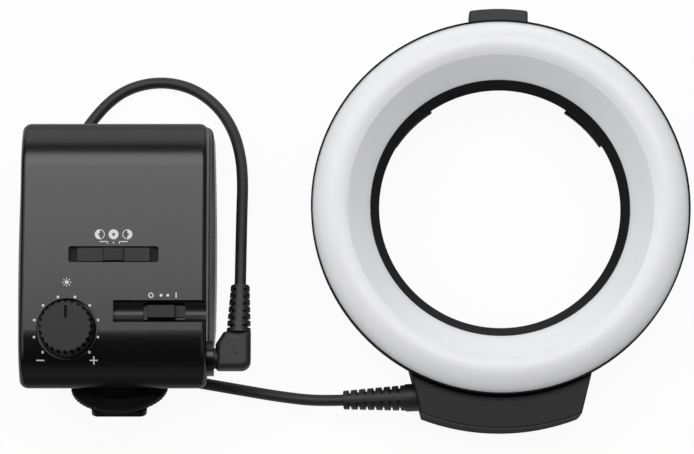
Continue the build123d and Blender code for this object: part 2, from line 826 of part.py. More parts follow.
with BuildPart() as block_front_cover:
    with BuildSketch(Plane.XY.offset(block_seam_z)):
        add(block_plan(block_groove, rim_r + fit_gap))
    extrude(amount=block_groove)
    with BuildSketch(Plane.XY.offset(block_seam_z + block_groove)):
        add(block_plan(0, rim_r + fit_gap))
    extrude(amount=block_face_z - block_seam_z - block_groove)
    face_edges = block_front_cover.faces().sort_by(Axis.Z)[-1].edges()
    chamfer(face_edges, cover_chamfer)
    # tongue that drops into the block, and posts for the screws
    with BuildSketch(Plane.XY.offset(block_seam_z - tongue_h)):
        add(block_plan(block_wall + fit_gap, rim_r + fit_gap))
        add(block_plan(block_wall + fit_gap + tongue_w, rim_r + tongue_w), mode=Mode.SUBTRACT)
    extrude(amount=tongue_h)
    with BuildSketch(Plane.XY.offset(driver_top)):
        with Locations((-block_post_x, block_post_y), (block_post_x, block_post_y)):
            Circle(ring_boss_d / 2)
            Circle(ring_screw_d / 2, mode=Mode.SUBTRACT)
    extrude(amount=block_seam_z - driver_top)
block_front_cover.part.label = "block_front_cover"
export_step(block_front_cover.part, "parts/block_front_cover.step")

with BuildPart() as block_screws:
    with BuildSketch(Plane.XY.offset(head_recess)):
        with Locations((-block_post_x, block_post_y), (block_post_x, block_post_y)):
            Circle(ring_head_d / 2)
    extrude(amount=ring_head_h)
    with BuildSketch(Plane.XY.offset(head_recess)):
        with Locations((-block_post_x, block_post_y), (block_post_x, block_post_y)):
            Circle(ring_screw_d / 2)
    extrude(amount=block_seam_z - tongue_h - head_recess)
    with BuildSketch(Plane.XY.offset(head_recess)):
        with Locations((-block_post_x, block_post_y), (block_post_x, block_post_y)):
            Rectangle(screw_cross_l, screw_cross_w)
            Rectangle(screw_cross_w, screw_cross_l)
    extrude(amount=ring_head_h / 2, mode=Mode.SUBTRACT)
block_screws.part.label = "block_screws"
export_step(block_screws.part, "parts/block_screws.step")


# control unit

trough_r = (trough_w ** 2 / 4 + trough_depth ** 2) / (2 * trough_depth)
mouth_z = seam_z + seam_gap
main_top = main_board_z + main_board_t
main_posts = [(unit_x + side * main_post_x, y) for side in (-1, 1) for y in main_post_y]
shell_screws_at = [(unit_x + side * shell_screw_x, y) for side in (-1, 1) for y in shell_screw_y]
dial_place = (dial_x, dial_y)
pow_mid = pow_x + pow_travel / 2
pos_floor = panel_z - pos_slot_depth
hump_mid_y = (hump_low_y + hump_high_y) / 2
hump_l = hump_high_y - hump_low_y
door_top = door_lift + door_t

# room inside the front shell, with its drum, floors and posts left out of it
with BuildPart() as front_room:
    add(unit_form(front_half - shell_wall, unit_top - shell_wall, shell_wall, mouth_z - cut_over,
                  panel_z + cut_over, corner_r - shell_wall / 2))
    with BuildSketch(Plane.XY.offset(dial_well_z - well_floor)):
        with Locations(dial_place):
            Circle(dial_well_r + well_wall)
    extrude(amount=panel_z, mode=Mode.SUBTRACT)
    with BuildSketch(Plane.XY.offset(pow_floor_z - pow_floor_t)):
        with Locations((trough_left - well_wall + front_half, trough_y)):
            Rectangle(2 * front_half, trough_w + 2 * well_wall)
    extrude(amount=panel_z, mode=Mode.SUBTRACT)
    with BuildSketch(Plane.XY.offset(pos_floor - pos_floor_t)):
        with Locations((pos_x, pos_y)):
            Rectangle(pos_slot_l + 2 * well_wall, pos_slot_w + 2 * well_wall)
    extrude(amount=panel_z, mode=Mode.SUBTRACT)
    with BuildSketch(Plane.XY.offset(main_top)):
        with Locations(*main_posts):
            Circle(main_post_d / 2)
    extrude(amount=panel_z, mode=Mode.SUBTRACT)
    with BuildSketch():
        with Locations(*shell_screws_at):
            Circle(ring_boss_d / 2)
    extrude(amount=panel_z, mode=Mode.SUBTRACT)

with BuildPart() as front_shell:
    add(unit_form(front_half, unit_top, 0, mouth_z, panel_z + cut_over, corner_r, rounding=edge_round))
    add(front_room.part, mode=Mode.SUBTRACT)
    # well of the dial, with the hole for its shaft
    with BuildSketch(Plane.XY.offset(dial_well_z)):
        with Locations(dial_place):
            Circle(dial_well_r)
    extrude(amount=panel_z, mode=Mode.SUBTRACT)
    with BuildSketch():
        with Locations(dial_place):
            Circle(shaft_d / 2 + run_gap)
    extrude(amount=panel_z, mode=Mode.SUBTRACT)
    # trough of the power switch, open to the right side, and the slider's well in its floor
    with BuildSketch(Plane.YZ.offset(trough_left)):
        with Locations((trough_y, panel_z - trough_depth + trough_r)):
            Circle(trough_r)
    extrude(amount=2 * front_half, mode=Mode.SUBTRACT)
    with BuildSketch(Plane.XY.offset(pow_floor_z)):
        with Locations((pow_mid, trough_y)):
            RectangleRounded(pow_well_l, pow_well_w, pow_well_corner)
    extrude(amount=panel_z, mode=Mode.SUBTRACT)
    with BuildSketch():
        with Locations((pow_mid, trough_y)):
            Rectangle(stem_l + pow_travel + 2 * run_gap, stem_w + 2 * run_gap)
    extrude(amount=panel_z, mode=Mode.SUBTRACT)
    # undercut that the slider's plate runs into when it is switched on
    with BuildSketch(Plane.XY.offset(pow_floor_z)):
        with Locations((pow_mid + pow_well_l / 2, trough_y)):
            Rectangle(2 * (pow_travel + pow_undercut), pow_plate_w + 2 * run_gap)
    extrude(amount=pow_plate_t + 2 * slide_gap, mode=Mode.SUBTRACT)
    # slot of the position switch
    with BuildSketch(Plane.XY.offset(pos_floor)):
        with Locations((pos_x, pos_y)):
            RectangleRounded(pos_slot_l, pos_slot_w, pos_slot_corner)
    extrude(amount=panel_z, mode=Mode.SUBTRACT)
    with BuildSketch():
        with Locations((pos_x, pos_y)):
            Rectangle(stem_l + 2 * pos_travel + 2 * run_gap, stem_w + 2 * run_gap)
    extrude(amount=panel_z, mode=Mode.SUBTRACT)
    # tongues along both sides that enter the rear shell
    tongue_high_y = unit_top - 2 * corner_r
    with BuildSketch(Plane.XY.offset(seam_z - tongue_drop)):
        add(unit_plan(front_half, unit_top))
        add(unit_plan(front_half - tongue_t, unit_top), mode=Mode.SUBTRACT)
        with Locations((unit_x, (tongue_low_y + tongue_high_y) / 2)):
            Rectangle(3 * front_half, tongue_high_y - tongue_low_y, mode=Mode.INTERSECT)
    extrude(amount=mouth_z + tongue_t - seam_z + tongue_drop)
    # holes for the foot and its screws
    with BuildSketch(foot_plane(-2 * shell_wall)):
        Circle(stem_r + fit_gap)
        with Locations(*foot_screws_at):
            Circle(ring_screw_d / 2 + fit_gap)
    extrude(amount=3 * shell_wall, mode=Mode.SUBTRACT)
    # shallow arch over the lock wheel
    arch_r = (arch_w ** 2 / 4 + arch_h ** 2) / (2 * arch_h)
    with BuildSketch(Plane(origin=foot_centre, x_dir=(1, 0, 0), z_dir=foot_forward)):
        with Locations((0, -(arch_r - arch_h))):
            Circle(arch_r)
    extrude(amount=2 * foot_drop, mode=Mode.SUBTRACT)
    # boss and seat of the cord socket
    with BuildSketch(Plane.YZ.offset(unit_x + front_half - shell_wall)):
        with Locations((jack_y, jack_z)):
            Circle(jack_boss_r)
    extrude(amount=rear_half - front_half + shell_wall)
    with BuildSketch():
        with Locations((unit_x + rear_half, jack_y)):
            Rectangle(4 * shell_wall, 3 * jack_boss_r)
    extrude(amount=mouth_z, mode=Mode.SUBTRACT)
    with BuildSketch(Plane.YZ.offset(unit_x + rear_half - jack_l)):
        with Locations((jack_y, jack_z)):
            Circle(jack_r + fit_gap)
    extrude(amount=2 * jack_l, mode=Mode.SUBTRACT)
    # holes for the screws in the posts
    with BuildSketch():
        with Locations(*shell_screws_at):
            Circle(ring_screw_d / 2)
    extrude(amount=shell_screw_end + run_gap, mode=Mode.SUBTRACT)
    with BuildSketch():
        with Locations(*main_posts):
            Circle(ring_screw_d / 2)
    extrude(amount=main_top + main_screw_l + run_gap, mode=Mode.SUBTRACT)
front_shell.part.label = "front_shell"
export_step(front_shell.part, "parts/front_shell.step")

# room that the rear shell's outside may fill: upright, then drawn in towards the seam
with BuildPart() as rear_envelope:
    with BuildSketch():
        add(unit_plan(rear_half, unit_top + rear_overhang, rear_bow, corner_r))
    extrude(amount=seam_z - shoulder_drop)
    with BuildSketch(Plane.XY.offset(seam_z - shoulder_drop)):
        add(unit_plan(rear_half, unit_top + rear_overhang, rear_bow, corner_r))
    with BuildSketch(Plane.XY.offset(seam_z)):
        add(unit_plan(front_half + mouth_gap + shoulder_land, unit_top + mouth_gap + shoulder_land,
                      corner=corner_r))
    loft()

with BuildPart() as rear_shell:
    add(unit_form(rear_half, unit_top + rear_overhang, 0, back_z, seam_z, corner_r, bow=rear_bow))
    add(rear_envelope.part, mode=Mode.INTERSECT)
    # battery hump below the back
    with BuildSketch():
        with Locations((unit_x, hump_mid_y)):
            RectangleRounded(2 * hump_half, hump_l, hump_corner)
    extrude(amount=back_z + shell_wall)
    add(unit_form(front_half + fit_gap, unit_top + fit_gap, shell_wall, back_z, seam_z + cut_over,
                  corner_r), mode=Mode.SUBTRACT)
    # the mouth is wider along the sides and the top end, which shows as the seam
    mouth_l = unit_top + rear_overhang - tongue_low_y
    with BuildSketch(Plane.XY.offset(seam_z - mouth_depth)):
        add(unit_plan(front_half + mouth_gap, unit_top + mouth_gap, corner=corner_r))
        with Locations((unit_x, tongue_low_y + mouth_l / 2)):
            Rectangle(3 * front_half, mouth_l, mode=Mode.INTERSECT)
    extrude(amount=mouth_depth + cut_over, mode=Mode.SUBTRACT)
    with BuildSketch():
        with Locations((unit_x, hump_mid_y)):
            RectangleRounded(2 * (hump_half - hump_wall), hump_l - 2 * hump_wall, hump_in_corner)
    extrude(amount=back_z + 2 * shell_wall, mode=Mode.SUBTRACT)
    # the door's way: the low end is open, grooves run along both sides
    with BuildSketch():
        with Locations((unit_x, hump_low_y)):
            Rectangle(3 * hump_half, 2 * hump_corner)
    extrude(amount=door_top + door_gap, mode=Mode.SUBTRACT)
    groove_high_y = hump_high_y - hump_corner
    with BuildSketch(Plane.XY.offset(door_lift + door_t / 3 - door_gap)):
        with Locations((unit_x, groove_high_y - hump_l / 2)):
            Rectangle(2 * (hump_half - hump_wall + door_tongue), hump_l)
    extrude(amount=door_t / 3 + 2 * door_gap, mode=Mode.SUBTRACT)
    with BuildSketch(foot_plane(-2 * shell_wall)):
        Circle(stem_r + fit_gap)
        with Locations(*foot_screws_at):
            Circle(ring_screw_d / 2 + fit_gap)
    extrude(amount=3 * shell_wall, mode=Mode.SUBTRACT)
    # bosses for the screws that join the shells
    with BuildSketch(Plane.XY.offset(back_z)):
        with Locations(*shell_screws_at):
            Circle(shell_boss_d / 2)
    extrude(amount=mouth_z - fit_gap - back_z)
    with BuildSketch(Plane.XY.offset(back_z)):
        with Locations(*shell_screws_at):
            Circle(ring_head_d / 2 + fit_gap)
    extrude(amount=shell_head_z + ring_head_h - back_z, mode=Mode.SUBTRACT)
    with BuildSketch(Plane.XY.offset(back_z)):
        with Locations(*shell_screws_at):
            Circle(ring_screw_d / 2 + fit_gap)
    extrude(amount=seam_z, mode=Mode.SUBTRACT)
rear_shell.part.label = "rear_shell"
export_step(rear_shell.part, "parts/rear_shell.step")

with BuildPart() as shell_screws:
    with BuildSketch(Plane.XY.offset(shell_head_z)):
        with Locations(*shell_screws_at):
            Circle(ring_head_d / 2)
    extrude(amount=ring_head_h)
    with BuildSketch(Plane.XY.offset(shell_head_z)):
        with Locations(*shell_screws_at):
            Circle(ring_screw_d / 2)
    extrude(amount=shell_screw_end - shell_head_z)
    with BuildSketch(Plane.XY.offset(shell_head_z)):
        with Locations(*shell_screws_at):
            Rectangle(screw_cross_l, screw_cross_w)
            Rectangle(screw_cross_w, screw_cross_l)
    extrude(amount=ring_head_h / 2, mode=Mode.SUBTRACT)
shell_screws.part.label = "shell_screws"
export_step(shell_screws.part, "parts/shell_screws.step")

# battery door: a plate with side tongues, its low end shaped like the hump
door_high_y = hump_high_y - hump_wall - run_gap
door_wide_y = hump_low_y + hump_corner - run_gap
with BuildPart() as battery_door:
    with BuildSketch(Plane.XY.offset(door_lift)):
        with Locations((unit_x, hump_mid_y)):
            RectangleRounded(2 * hump_half, hump_l, hump_corner)
        with Locations((unit_x, door_wide_y - hump_l / 2)):
            Rectangle(3 * hump_half, hump_l, mode=Mode.INTERSECT)
        with Locations((unit_x, (hump_low_y + hump_wall + door_high_y) / 2)):
            RectangleRounded(2 * (hump_half - hump_wall - run_gap), door_high_y - hump_low_y - hump_wall,
                             hump_in_corner)
    extrude(amount=door_t)
    with BuildSketch(Plane.XY.offset(door_lift + door_t / 3)):
        with Locations((unit_x, (door_wide_y + groove_high_y - run_gap) / 2)):
            Rectangle(2 * (hump_half - hump_wall + door_tongue - run_gap),
                      groove_high_y - run_gap - door_wide_y)
    extrude(amount=door_t / 3)
    # grip ribs across the outside
    with BuildSketch(Plane.XY.offset(door_lift)):
        with Locations((unit_x, door_rib_y)):
            with GridLocations(0, 2 * door_rib_w, 1, door_ribs):
                Rectangle(door_rib_l, door_rib_w)
    extrude(amount=door_rib_h, mode=Mode.SUBTRACT)
battery_door.part.label = "battery_door"
export_step(battery_door.part, "parts/battery_door.step")

# battery holder: a box open towards the door, standing on the rear shell's floor
holder_in_x = 2 * (hump_half - hump_wall)
holder_in_y = hump_l - 2 * hump_wall
holder_low = back_z + shell_wall
with BuildPart() as battery_holder:
    with BuildSketch(Plane.XY.offset(holder_low)):
        with Locations((unit_x, hump_mid_y)):
            Rectangle(holder_in_x + 2 * holder_wall, holder_in_y + 2 * holder_wall)
    extrude(amount=holder_top - holder_low)
    with BuildSketch(Plane.XY.offset(holder_low)):
        with Locations((unit_x, hump_mid_y)):
            Rectangle(holder_in_x, holder_in_y)
    extrude(amount=holder_top - holder_wall - holder_low, mode=Mode.SUBTRACT)
    low_edge = battery_holder.faces().sort_by(Axis.Y)[0].edges().sort_by(Axis.Z)[0]
    chamfer(low_edge, holder_wall / 2)
battery_holder.part.label = "battery_holder"
export_step(battery_holder.part, "parts/battery_holder.step")

cell_x = (cell_d + cell_gap) / 2
low_contact_y = hump_low_y + hump_wall + contact_t
high_contact_y = hump_high_y - hump_wall - contact_t
with BuildPart() as battery_cells:
    for cell_z in cell_row_z:
        for side in (-1, 1):
            turned = side * (1 if cell_z == cell_row_z[0] else -1)
            near_y = low_contact_y if turned > 0 else high_contact_y
            with BuildSketch(Plane.XZ.offset(-near_y)):
                with Locations((unit_x + side * cell_x, cell_z)):
                    Circle(cell_nub_d / 2)
            extrude(amount=-turned * cell_nub_h)
            with BuildSketch(Plane.XZ.offset(-near_y - turned * cell_nub_h)):
                with Locations((unit_x + side * cell_x, cell_z)):
                    Circle(cell_d / 2)
            extrude(amount=-turned * (cell_l - cell_nub_h))
battery_cells.part.label = "battery_cells"
export_step(battery_cells.part, "parts/battery_cells.step")

contact_places = [(unit_x + side * cell_x, cell_z) for side in (-1, 1) for cell_z in cell_row_z]
with BuildPart() as battery_contacts:
    for wall_y, way in ((hump_low_y + hump_wall, 1), (hump_high_y - hump_wall, -1)):
        with BuildSketch(Plane.XZ.offset(-wall_y)):
            with Locations(*contact_places):
                Rectangle(contact_w, contact_w)
        extrude(amount=-way * contact_t)
battery_contacts.part.label = "battery_contacts"
export_step(battery_contacts.part, "parts/battery_contacts.step")

with BuildPart() as battery_springs:
    for cell_z in cell_row_z:
        for side in (-1, 1):
            turned = side * (1 if cell_z == cell_row_z[0] else -1)
            far_y = low_contact_y if turned < 0 else high_contact_y
            with BuildSketch(Plane.XZ.offset(-far_y)):
                with Locations((unit_x + side * cell_x, cell_z)):
                    Circle(cell_spring_d / 2)
                    Circle(cell_spring_d / 2 - cell_spring_wire, mode=Mode.SUBTRACT)
            extrude(amount=turned * (high_contact_y - low_contact_y - cell_l - fit_gap))
battery_springs.part.label = "battery_springs"
export_step(battery_springs.part, "parts/battery_springs.step")

# main board with its switches, potentiometer and parts
with BuildPart() as main_board:
    with BuildSketch(Plane.XY.offset(main_board_z)):
        with Locations((unit_x, (main_low_y + main_high_y) / 2)):
            Rectangle(2 * main_half, main_high_y - main_low_y)
        with Locations(*main_posts):
            Circle(ring_screw_d / 2 + fit_gap, mode=Mode.SUBTRACT)
        with Locations(dial_place):
            Rectangle(pot_size + 2 * fit_gap, pot_size + 2 * fit_gap, mode=Mode.SUBTRACT)
        with Locations((pow_mid, trough_y)):
            Rectangle(pow_body_l + 2 * fit_gap, pow_body_w + 2 * fit_gap, mode=Mode.SUBTRACT)
    extrude(amount=main_board_t)
main_board.part.label = "main_board"
export_step(main_board.part, "parts/main_board.step")

with BuildPart() as main_board_screws:
    with BuildSketch(Plane.XY.offset(main_board_z - ring_head_h)):
        with Locations(*main_posts):
            Circle(ring_head_d / 2)
    extrude(amount=ring_head_h)
    with BuildSketch(Plane.XY.offset(main_board_z - ring_head_h)):
        with Locations(*main_posts):
            Circle(ring_screw_d / 2)
    extrude(amount=ring_head_h + main_board_t + main_screw_l)
main_board_screws.part.label = "main_board_screws"
export_step(main_board_screws.part, "parts/main_board_screws.step")

with BuildPart() as board_components:
    with BuildSketch(Plane.XY.offset(main_top)):
        for x, y, across, along in board_chips:
            with Locations((unit_x + x, y)):
                Rectangle(across, along)
        with Locations((unit_x + board_cap[0][0], board_cap[0][1])):
            Circle(board_cap[1] / 2)
    extrude(amount=board_chip_h)
    with BuildSketch(Plane.XY.offset(main_top)):
        with Locations(*[(unit_x + x, y) for x, y in board_parts]):
            Rectangle(*small_part)
    extrude(amount=small_part_h)
board_components.part.label = "board_components"
export_step(board_components.part, "parts/board_components.step")

with BuildPart() as brightness_pot:
    with BuildSketch(Plane.XY.offset(main_board_z)):
        with Locations(dial_place):
            Rectangle(pot_size, pot_size)
            Circle(shaft_d / 2 + shaft_gap, mode=Mode.SUBTRACT)
    extrude(amount=pot_top - main_board_z)
    with BuildSketch(Plane.XY.offset(main_board_z)):
        with Locations(dial_place):
            Rectangle(pot_size, pot_size)
    extrude(amount=switch_floor)
brightness_pot.part.label = "brightness_pot"
export_step(brightness_pot.part, "parts/brightness_pot.step")

with BuildPart() as pot_shaft:
    with BuildSketch(Plane.XY.offset(main_board_z + switch_floor + shaft_gap)):
        with Locations(dial_place):
            Circle(shaft_d / 2)
    extrude(amount=dial_low + hub_depth - main_board_z - switch_floor - 2 * shaft_gap)
pot_shaft.part.label = "pot_shaft"
export_step(pot_shaft.part, "parts/pot_shaft.step")

with BuildPart() as brightness_dial:
    with BuildSketch(Plane(origin=(dial_x, dial_y, 0), x_dir=(1, 0, 0), z_dir=(0, -1, 0))):
        with BuildLine():
            Polyline((0, dial_low), (dial_base_r, dial_low), (dial_top_r, dial_top - dial_edge),
                     (dial_top_r - dial_edge, dial_top), (0, dial_top), close=True)
        make_face()
    revolve(axis=Axis((dial_x, dial_y, 0), (0, 0, 1)))
    with BuildSketch(Plane.XY.offset(dial_low)):
        with Locations(dial_place):
            Circle(dial_base_r - skirt_t)
            Circle(hub_r, mode=Mode.SUBTRACT)
    extrude(amount=hub_depth, mode=Mode.SUBTRACT)
    with BuildSketch(Plane.XY.offset(dial_low)):
        with Locations(dial_place):
            Circle(shaft_d / 2)
    extrude(amount=hub_depth, mode=Mode.SUBTRACT)
    with BuildSketch(Plane.XY.offset(dial_top - scallop_h)):
        with Locations(dial_place):
            with PolarLocations(scallop_r, dial_scallops, start_angle=90):
                Circle(scallop_d / 2)
    extrude(amount=scallop_h, mode=Mode.SUBTRACT)
    with BuildSketch(Plane.XY.offset(dial_top - pointer_depth)):
        with Locations((dial_x, dial_y + (pointer_in + pointer_out) / 2)):
            Rectangle(pointer_w, pointer_out - pointer_in)
    extrude(amount=pointer_depth, mode=Mode.SUBTRACT)
brightness_dial.part.label = "brightness_dial"
export_step(brightness_dial.part, "parts/brightness_dial.step")

pos_body_top = pos_floor - pos_floor_t - run_gap
with BuildPart() as position_switch:
    with BuildSketch(Plane.XY.offset(main_top)):
        with Locations((pos_x, pos_y)):
            Rectangle(pos_body_l, pos_body_w)
    extrude(amount=pos_body_top - main_top)
    with BuildSketch(Plane.XY.offset(main_top + switch_floor)):
        with Locations((pos_x, pos_y)):
            Rectangle(stem_l + 2 * pos_travel + 2 * run_gap, stem_w + 2 * run_gap)
    extrude(amount=pos_body_top, mode=Mode.SUBTRACT)
position_switch.part.label = "position_switch"
export_step(position_switch.part, "parts/position_switch.step")

pos_plate_z = pos_floor + slide_gap
with BuildPart() as position_slider:
    with BuildSketch(Plane.XY.offset(pos_plate_z)):
        with Locations((pos_x, pos_y)):
            Rectangle(pos_slider_l, pos_slider_w)
    extrude(amount=pos_slider_t)
    with BuildSketch(Plane.XY.offset(pos_plate_z)):
        with Locations((pos_x, pos_y)):
            Rectangle(pos_knob_l, pos_slider_w)
    extrude(amount=pos_slider_t + pos_knob_h)
    chamfer(position_slider.faces().sort_by(Axis.Z)[-1].edges(), grip_edge)
    # fine grip grooves along the travel, and the index dot
    pos_top = pos_plate_z + pos_slider_t + pos_knob_h
    with BuildSketch(Plane.XY.offset(pos_top - pos_groove_d)):
        with Locations((pos_x, pos_y)):
            with GridLocations(0, 2 * grip_w, 1, pos_grooves):
                Rectangle(pos_knob_l - 2 * grip_w, grip_w)
    extrude(amount=pos_groove_d, mode=Mode.SUBTRACT)
    with BuildSketch(Plane.XY.offset(pos_top - 2 * pos_groove_d)):
        with Locations((pos_x, pos_y)):
            Rectangle(pos_dot_w, 2 * pos_dot_w)
    extrude(amount=2 * pos_groove_d, mode=Mode.SUBTRACT)
    with BuildSketch(Plane.XY.offset(main_top + switch_floor + run_gap)):
        with Locations((pos_x, pos_y)):
            Rectangle(stem_l, stem_w)
    extrude(amount=pos_plate_z - main_top - switch_floor - run_gap)
position_slider.part.label = "position_slider"
export_step(position_slider.part, "parts/position_slider.step")

pow_body_top = pow_floor_z - pow_floor_t - run_gap
with BuildPart() as power_switch:
    with BuildSketch(Plane.XY.offset(main_board_z)):
        with Locations((pow_mid, trough_y)):
            Rectangle(pow_body_l, pow_body_w)
    extrude(amount=pow_body_top - main_board_z)
    with BuildSketch(Plane.XY.offset(main_board_z + switch_floor)):
        with Locations((pow_mid, trough_y)):
            Rectangle(stem_l + pow_travel + 2 * run_gap, stem_w + 2 * run_gap)
    extrude(amount=pow_body_top, mode=Mode.SUBTRACT)
power_switch.part.label = "power_switch"
export_step(power_switch.part, "parts/power_switch.step")

pow_plate_z = pow_floor_z + slide_gap
with BuildPart() as power_slider:
    with BuildSketch(Plane.XY.offset(pow_plate_z)):
        with Locations((pow_x + pow_plate_right / 2, trough_y)):
            Rectangle(pow_knob_l + pow_plate_right, pow_plate_w)
    extrude(amount=pow_plate_t)
    with BuildSketch(Plane.XY.offset(pow_plate_z)):
        with Locations((pow_x, trough_y)):
            Rectangle(pow_knob_l, pow_knob_w)
    extrude(amount=pow_top - pow_plate_z)
    chamfer(power_slider.faces().sort_by(Axis.Z)[-1].edges(), grip_edge)
    with BuildSketch(Plane.XY.offset(pow_top - pos_groove_d)):
        with Locations((pow_x, trough_y)):
            with GridLocations(2.5 * grip_w, 0, pow_ribs, 1):
                Rectangle(grip_w, pow_knob_w - 3 * grip_w)
    extrude(amount=pos_groove_d, mode=Mode.SUBTRACT)
    with BuildSketch(Plane.XY.offset(main_board_z + switch_floor + run_gap)):
        with Locations((pow_x, trough_y)):
            Rectangle(stem_l, stem_w)
    extrude(amount=pow_plate_z - main_board_z - switch_floor - run_gap)
power_slider.part.label = "power_slider"
export_step(power_slider.part, "parts/power_slider.step")

with BuildPart() as cord_socket:
    with BuildSketch(Plane.YZ.offset(unit_x + rear_half - jack_l)):
        with Locations((jack_y, jack_z)):
            Circle(jack_r)
    extrude(amount=jack_l)
    with BuildSketch(Plane.YZ.offset(unit_x + rear_half)):
        with Locations((jack_y, jack_z)):
            Circle(tip_r + fit_gap)
    extrude(amount=-tip_l - cut_over, mode=Mode.SUBTRACT)
cord_socket.part.label = "cord_socket"
export_step(cord_socket.part, "parts/cord_socket.step")

# shoe foot: bracket and screws inside, flange, threaded stem and plate outside
plate_near = washer_near + washer_t + shoe_gap
with BuildPart() as foot_bracket:
    with BuildSketch(foot_plane(-shell_wall)):
        RectangleRounded(bracket_w, bracket_l, plate_corner)
        Circle(stem_r + fit_gap, mode=Mode.SUBTRACT)
        with Locations(*foot_screws_at):
            Circle(ring_screw_d / 2 + fit_gap, mode=Mode.SUBTRACT)
    extrude(amount=-bracket_t)
foot_bracket.part.label = "foot_bracket"
export_step(foot_bracket.part, "parts/foot_bracket.step")

with BuildPart() as foot_screws:
    with BuildSketch(foot_plane(-shell_wall - bracket_t)):
        with Locations(*foot_screws_at):
            Circle(ring_head_d / 2)
    extrude(amount=-ring_head_h)
    with BuildSketch(foot_plane(-shell_wall - bracket_t)):
        with Locations(*foot_screws_at):
            Circle(ring_screw_d / 2)
    extrude(amount=shell_wall + bracket_t + foot_screw_depth)
foot_screws.part.label = "foot_screws"
export_step(foot_screws.part, "parts/foot_screws.step")

with BuildPart() as shoe_foot:
    with BuildSketch(foot_plane(0)):
        Circle(flange_r)
    extrude(amount=flange_t)
    with BuildSketch(foot_plane(0)):
        with Locations(*foot_screws_at):
            Circle(ring_screw_d / 2)
    extrude(amount=foot_screw_depth, mode=Mode.SUBTRACT)
    with BuildSketch(foot_plane(-shell_wall - bracket_t)):
        Circle(stem_r)
    extrude(amount=shell_wall + bracket_t + plate_near)
    with BuildSketch(foot_plane(plate_near)):
        RectangleRounded(plate_w, plate_l, plate_corner)
    extrude(amount=plate_t)
shoe_foot.part.label = "shoe_foot"
export_step(shoe_foot.part, "parts/shoe_foot.step")

# lock wheel with its threaded insert, and the washer that it pushes along
with BuildPart() as lock_wheel:
    with BuildSketch(square_plane(foot_centre, Vector(1, 0, 0), foot_forward)):
        with BuildLine():
            Polyline((insert_r + fit_gap, wheel_near), (wheel_r, wheel_near),
                     (wheel_r, wheel_near + wheel_band), (wheel_low_r, wheel_far),
                     (insert_r + fit_gap, wheel_far), close=True)
        make_face()
    revolve(axis=Axis(foot_centre, foot_away))
    with BuildSketch(foot_plane(wheel_near)):
        with PolarLocations(wheel_r, wheel_knurls):
            Circle(knurl_depth)
    extrude(amount=wheel_far - wheel_near, mode=Mode.SUBTRACT)
lock_wheel.part.label = "lock_wheel"
export_step(lock_wheel.part, "parts/lock_wheel.step")

with BuildPart() as lock_insert:
    with BuildSketch(foot_plane(wheel_near)):
        Circle(insert_r)
        Circle(stem_r + shaft_gap, mode=Mode.SUBTRACT)
    extrude(amount=wheel_far - wheel_near)
lock_insert.part.label = "lock_insert"
export_step(lock_insert.part, "parts/lock_insert.step")

with BuildPart() as lock_washer:
    with BuildSketch(foot_plane(washer_near)):
        Circle(washer_r)
        Circle(stem_r + shaft_gap, mode=Mode.SUBTRACT)
    extrude(amount=washer_t)
lock_washer.part.label = "lock_washer"
export_step(lock_washer.part, "parts/lock_washer.step")

# the boot at the block's side: collar, slotted sleeve, and a neck through the wall
with BuildPart() as ring_cable_boot:
    with BuildSketch(boot_plane(-collar_l)):
        Circle(collar_r)
    extrude(amount=2 * collar_l)
    with BuildSketch(boot_plane(collar_l)):
        Circle(boot_in_r)
    with BuildSketch(boot_plane(boot_l)):
        Circle(boot_out_r)
    loft()
    add(relief_slots(boot_in + boot_axis * collar_l, cord_points[0], boot_axis, boot_axis, boot_in_r,
                     boot_out_r, boot_rows, Vector(0, 1, 0)), mode=Mode.SUBTRACT)
    add(block_solid(-fit_gap, 0, block_seam_z), mode=Mode.SUBTRACT)
    with BuildSketch(boot_plane(collar_l)):
        Circle(neck_r)
    extrude(amount=retainer_at - collar_l)
    with BuildSketch(boot_plane(retainer_at)):
        Circle(neck_r)
    extrude(amount=-neck_flange_t)
    with BuildSketch(boot_plane(retainer_at - fit_gap)):
        Circle(neck_r + neck_flange_over)
        Circle(neck_groove_r, mode=Mode.SUBTRACT)
    extrude(amount=retainer_t + 2 * fit_gap, mode=Mode.SUBTRACT)
ring_cable_boot.part.label = "ring_cable_boot"
export_step(ring_cable_boot.part, "parts/ring_cable_boot.step")

with BuildPart() as cable_retainer:
    with BuildSketch(boot_plane(retainer_at)):
        Rectangle(retainer_size, retainer_size)
        Circle(neck_groove_r + fit_gap, mode=Mode.SUBTRACT)
        with Locations((0, retainer_size / 2)):
            Rectangle(2 * (neck_groove_r + fit_gap), retainer_size, mode=Mode.SUBTRACT)
    extrude(amount=retainer_t)
cable_retainer.part.label = "cable_retainer"
export_step(cable_retainer.part, "parts/cable_retainer.step")

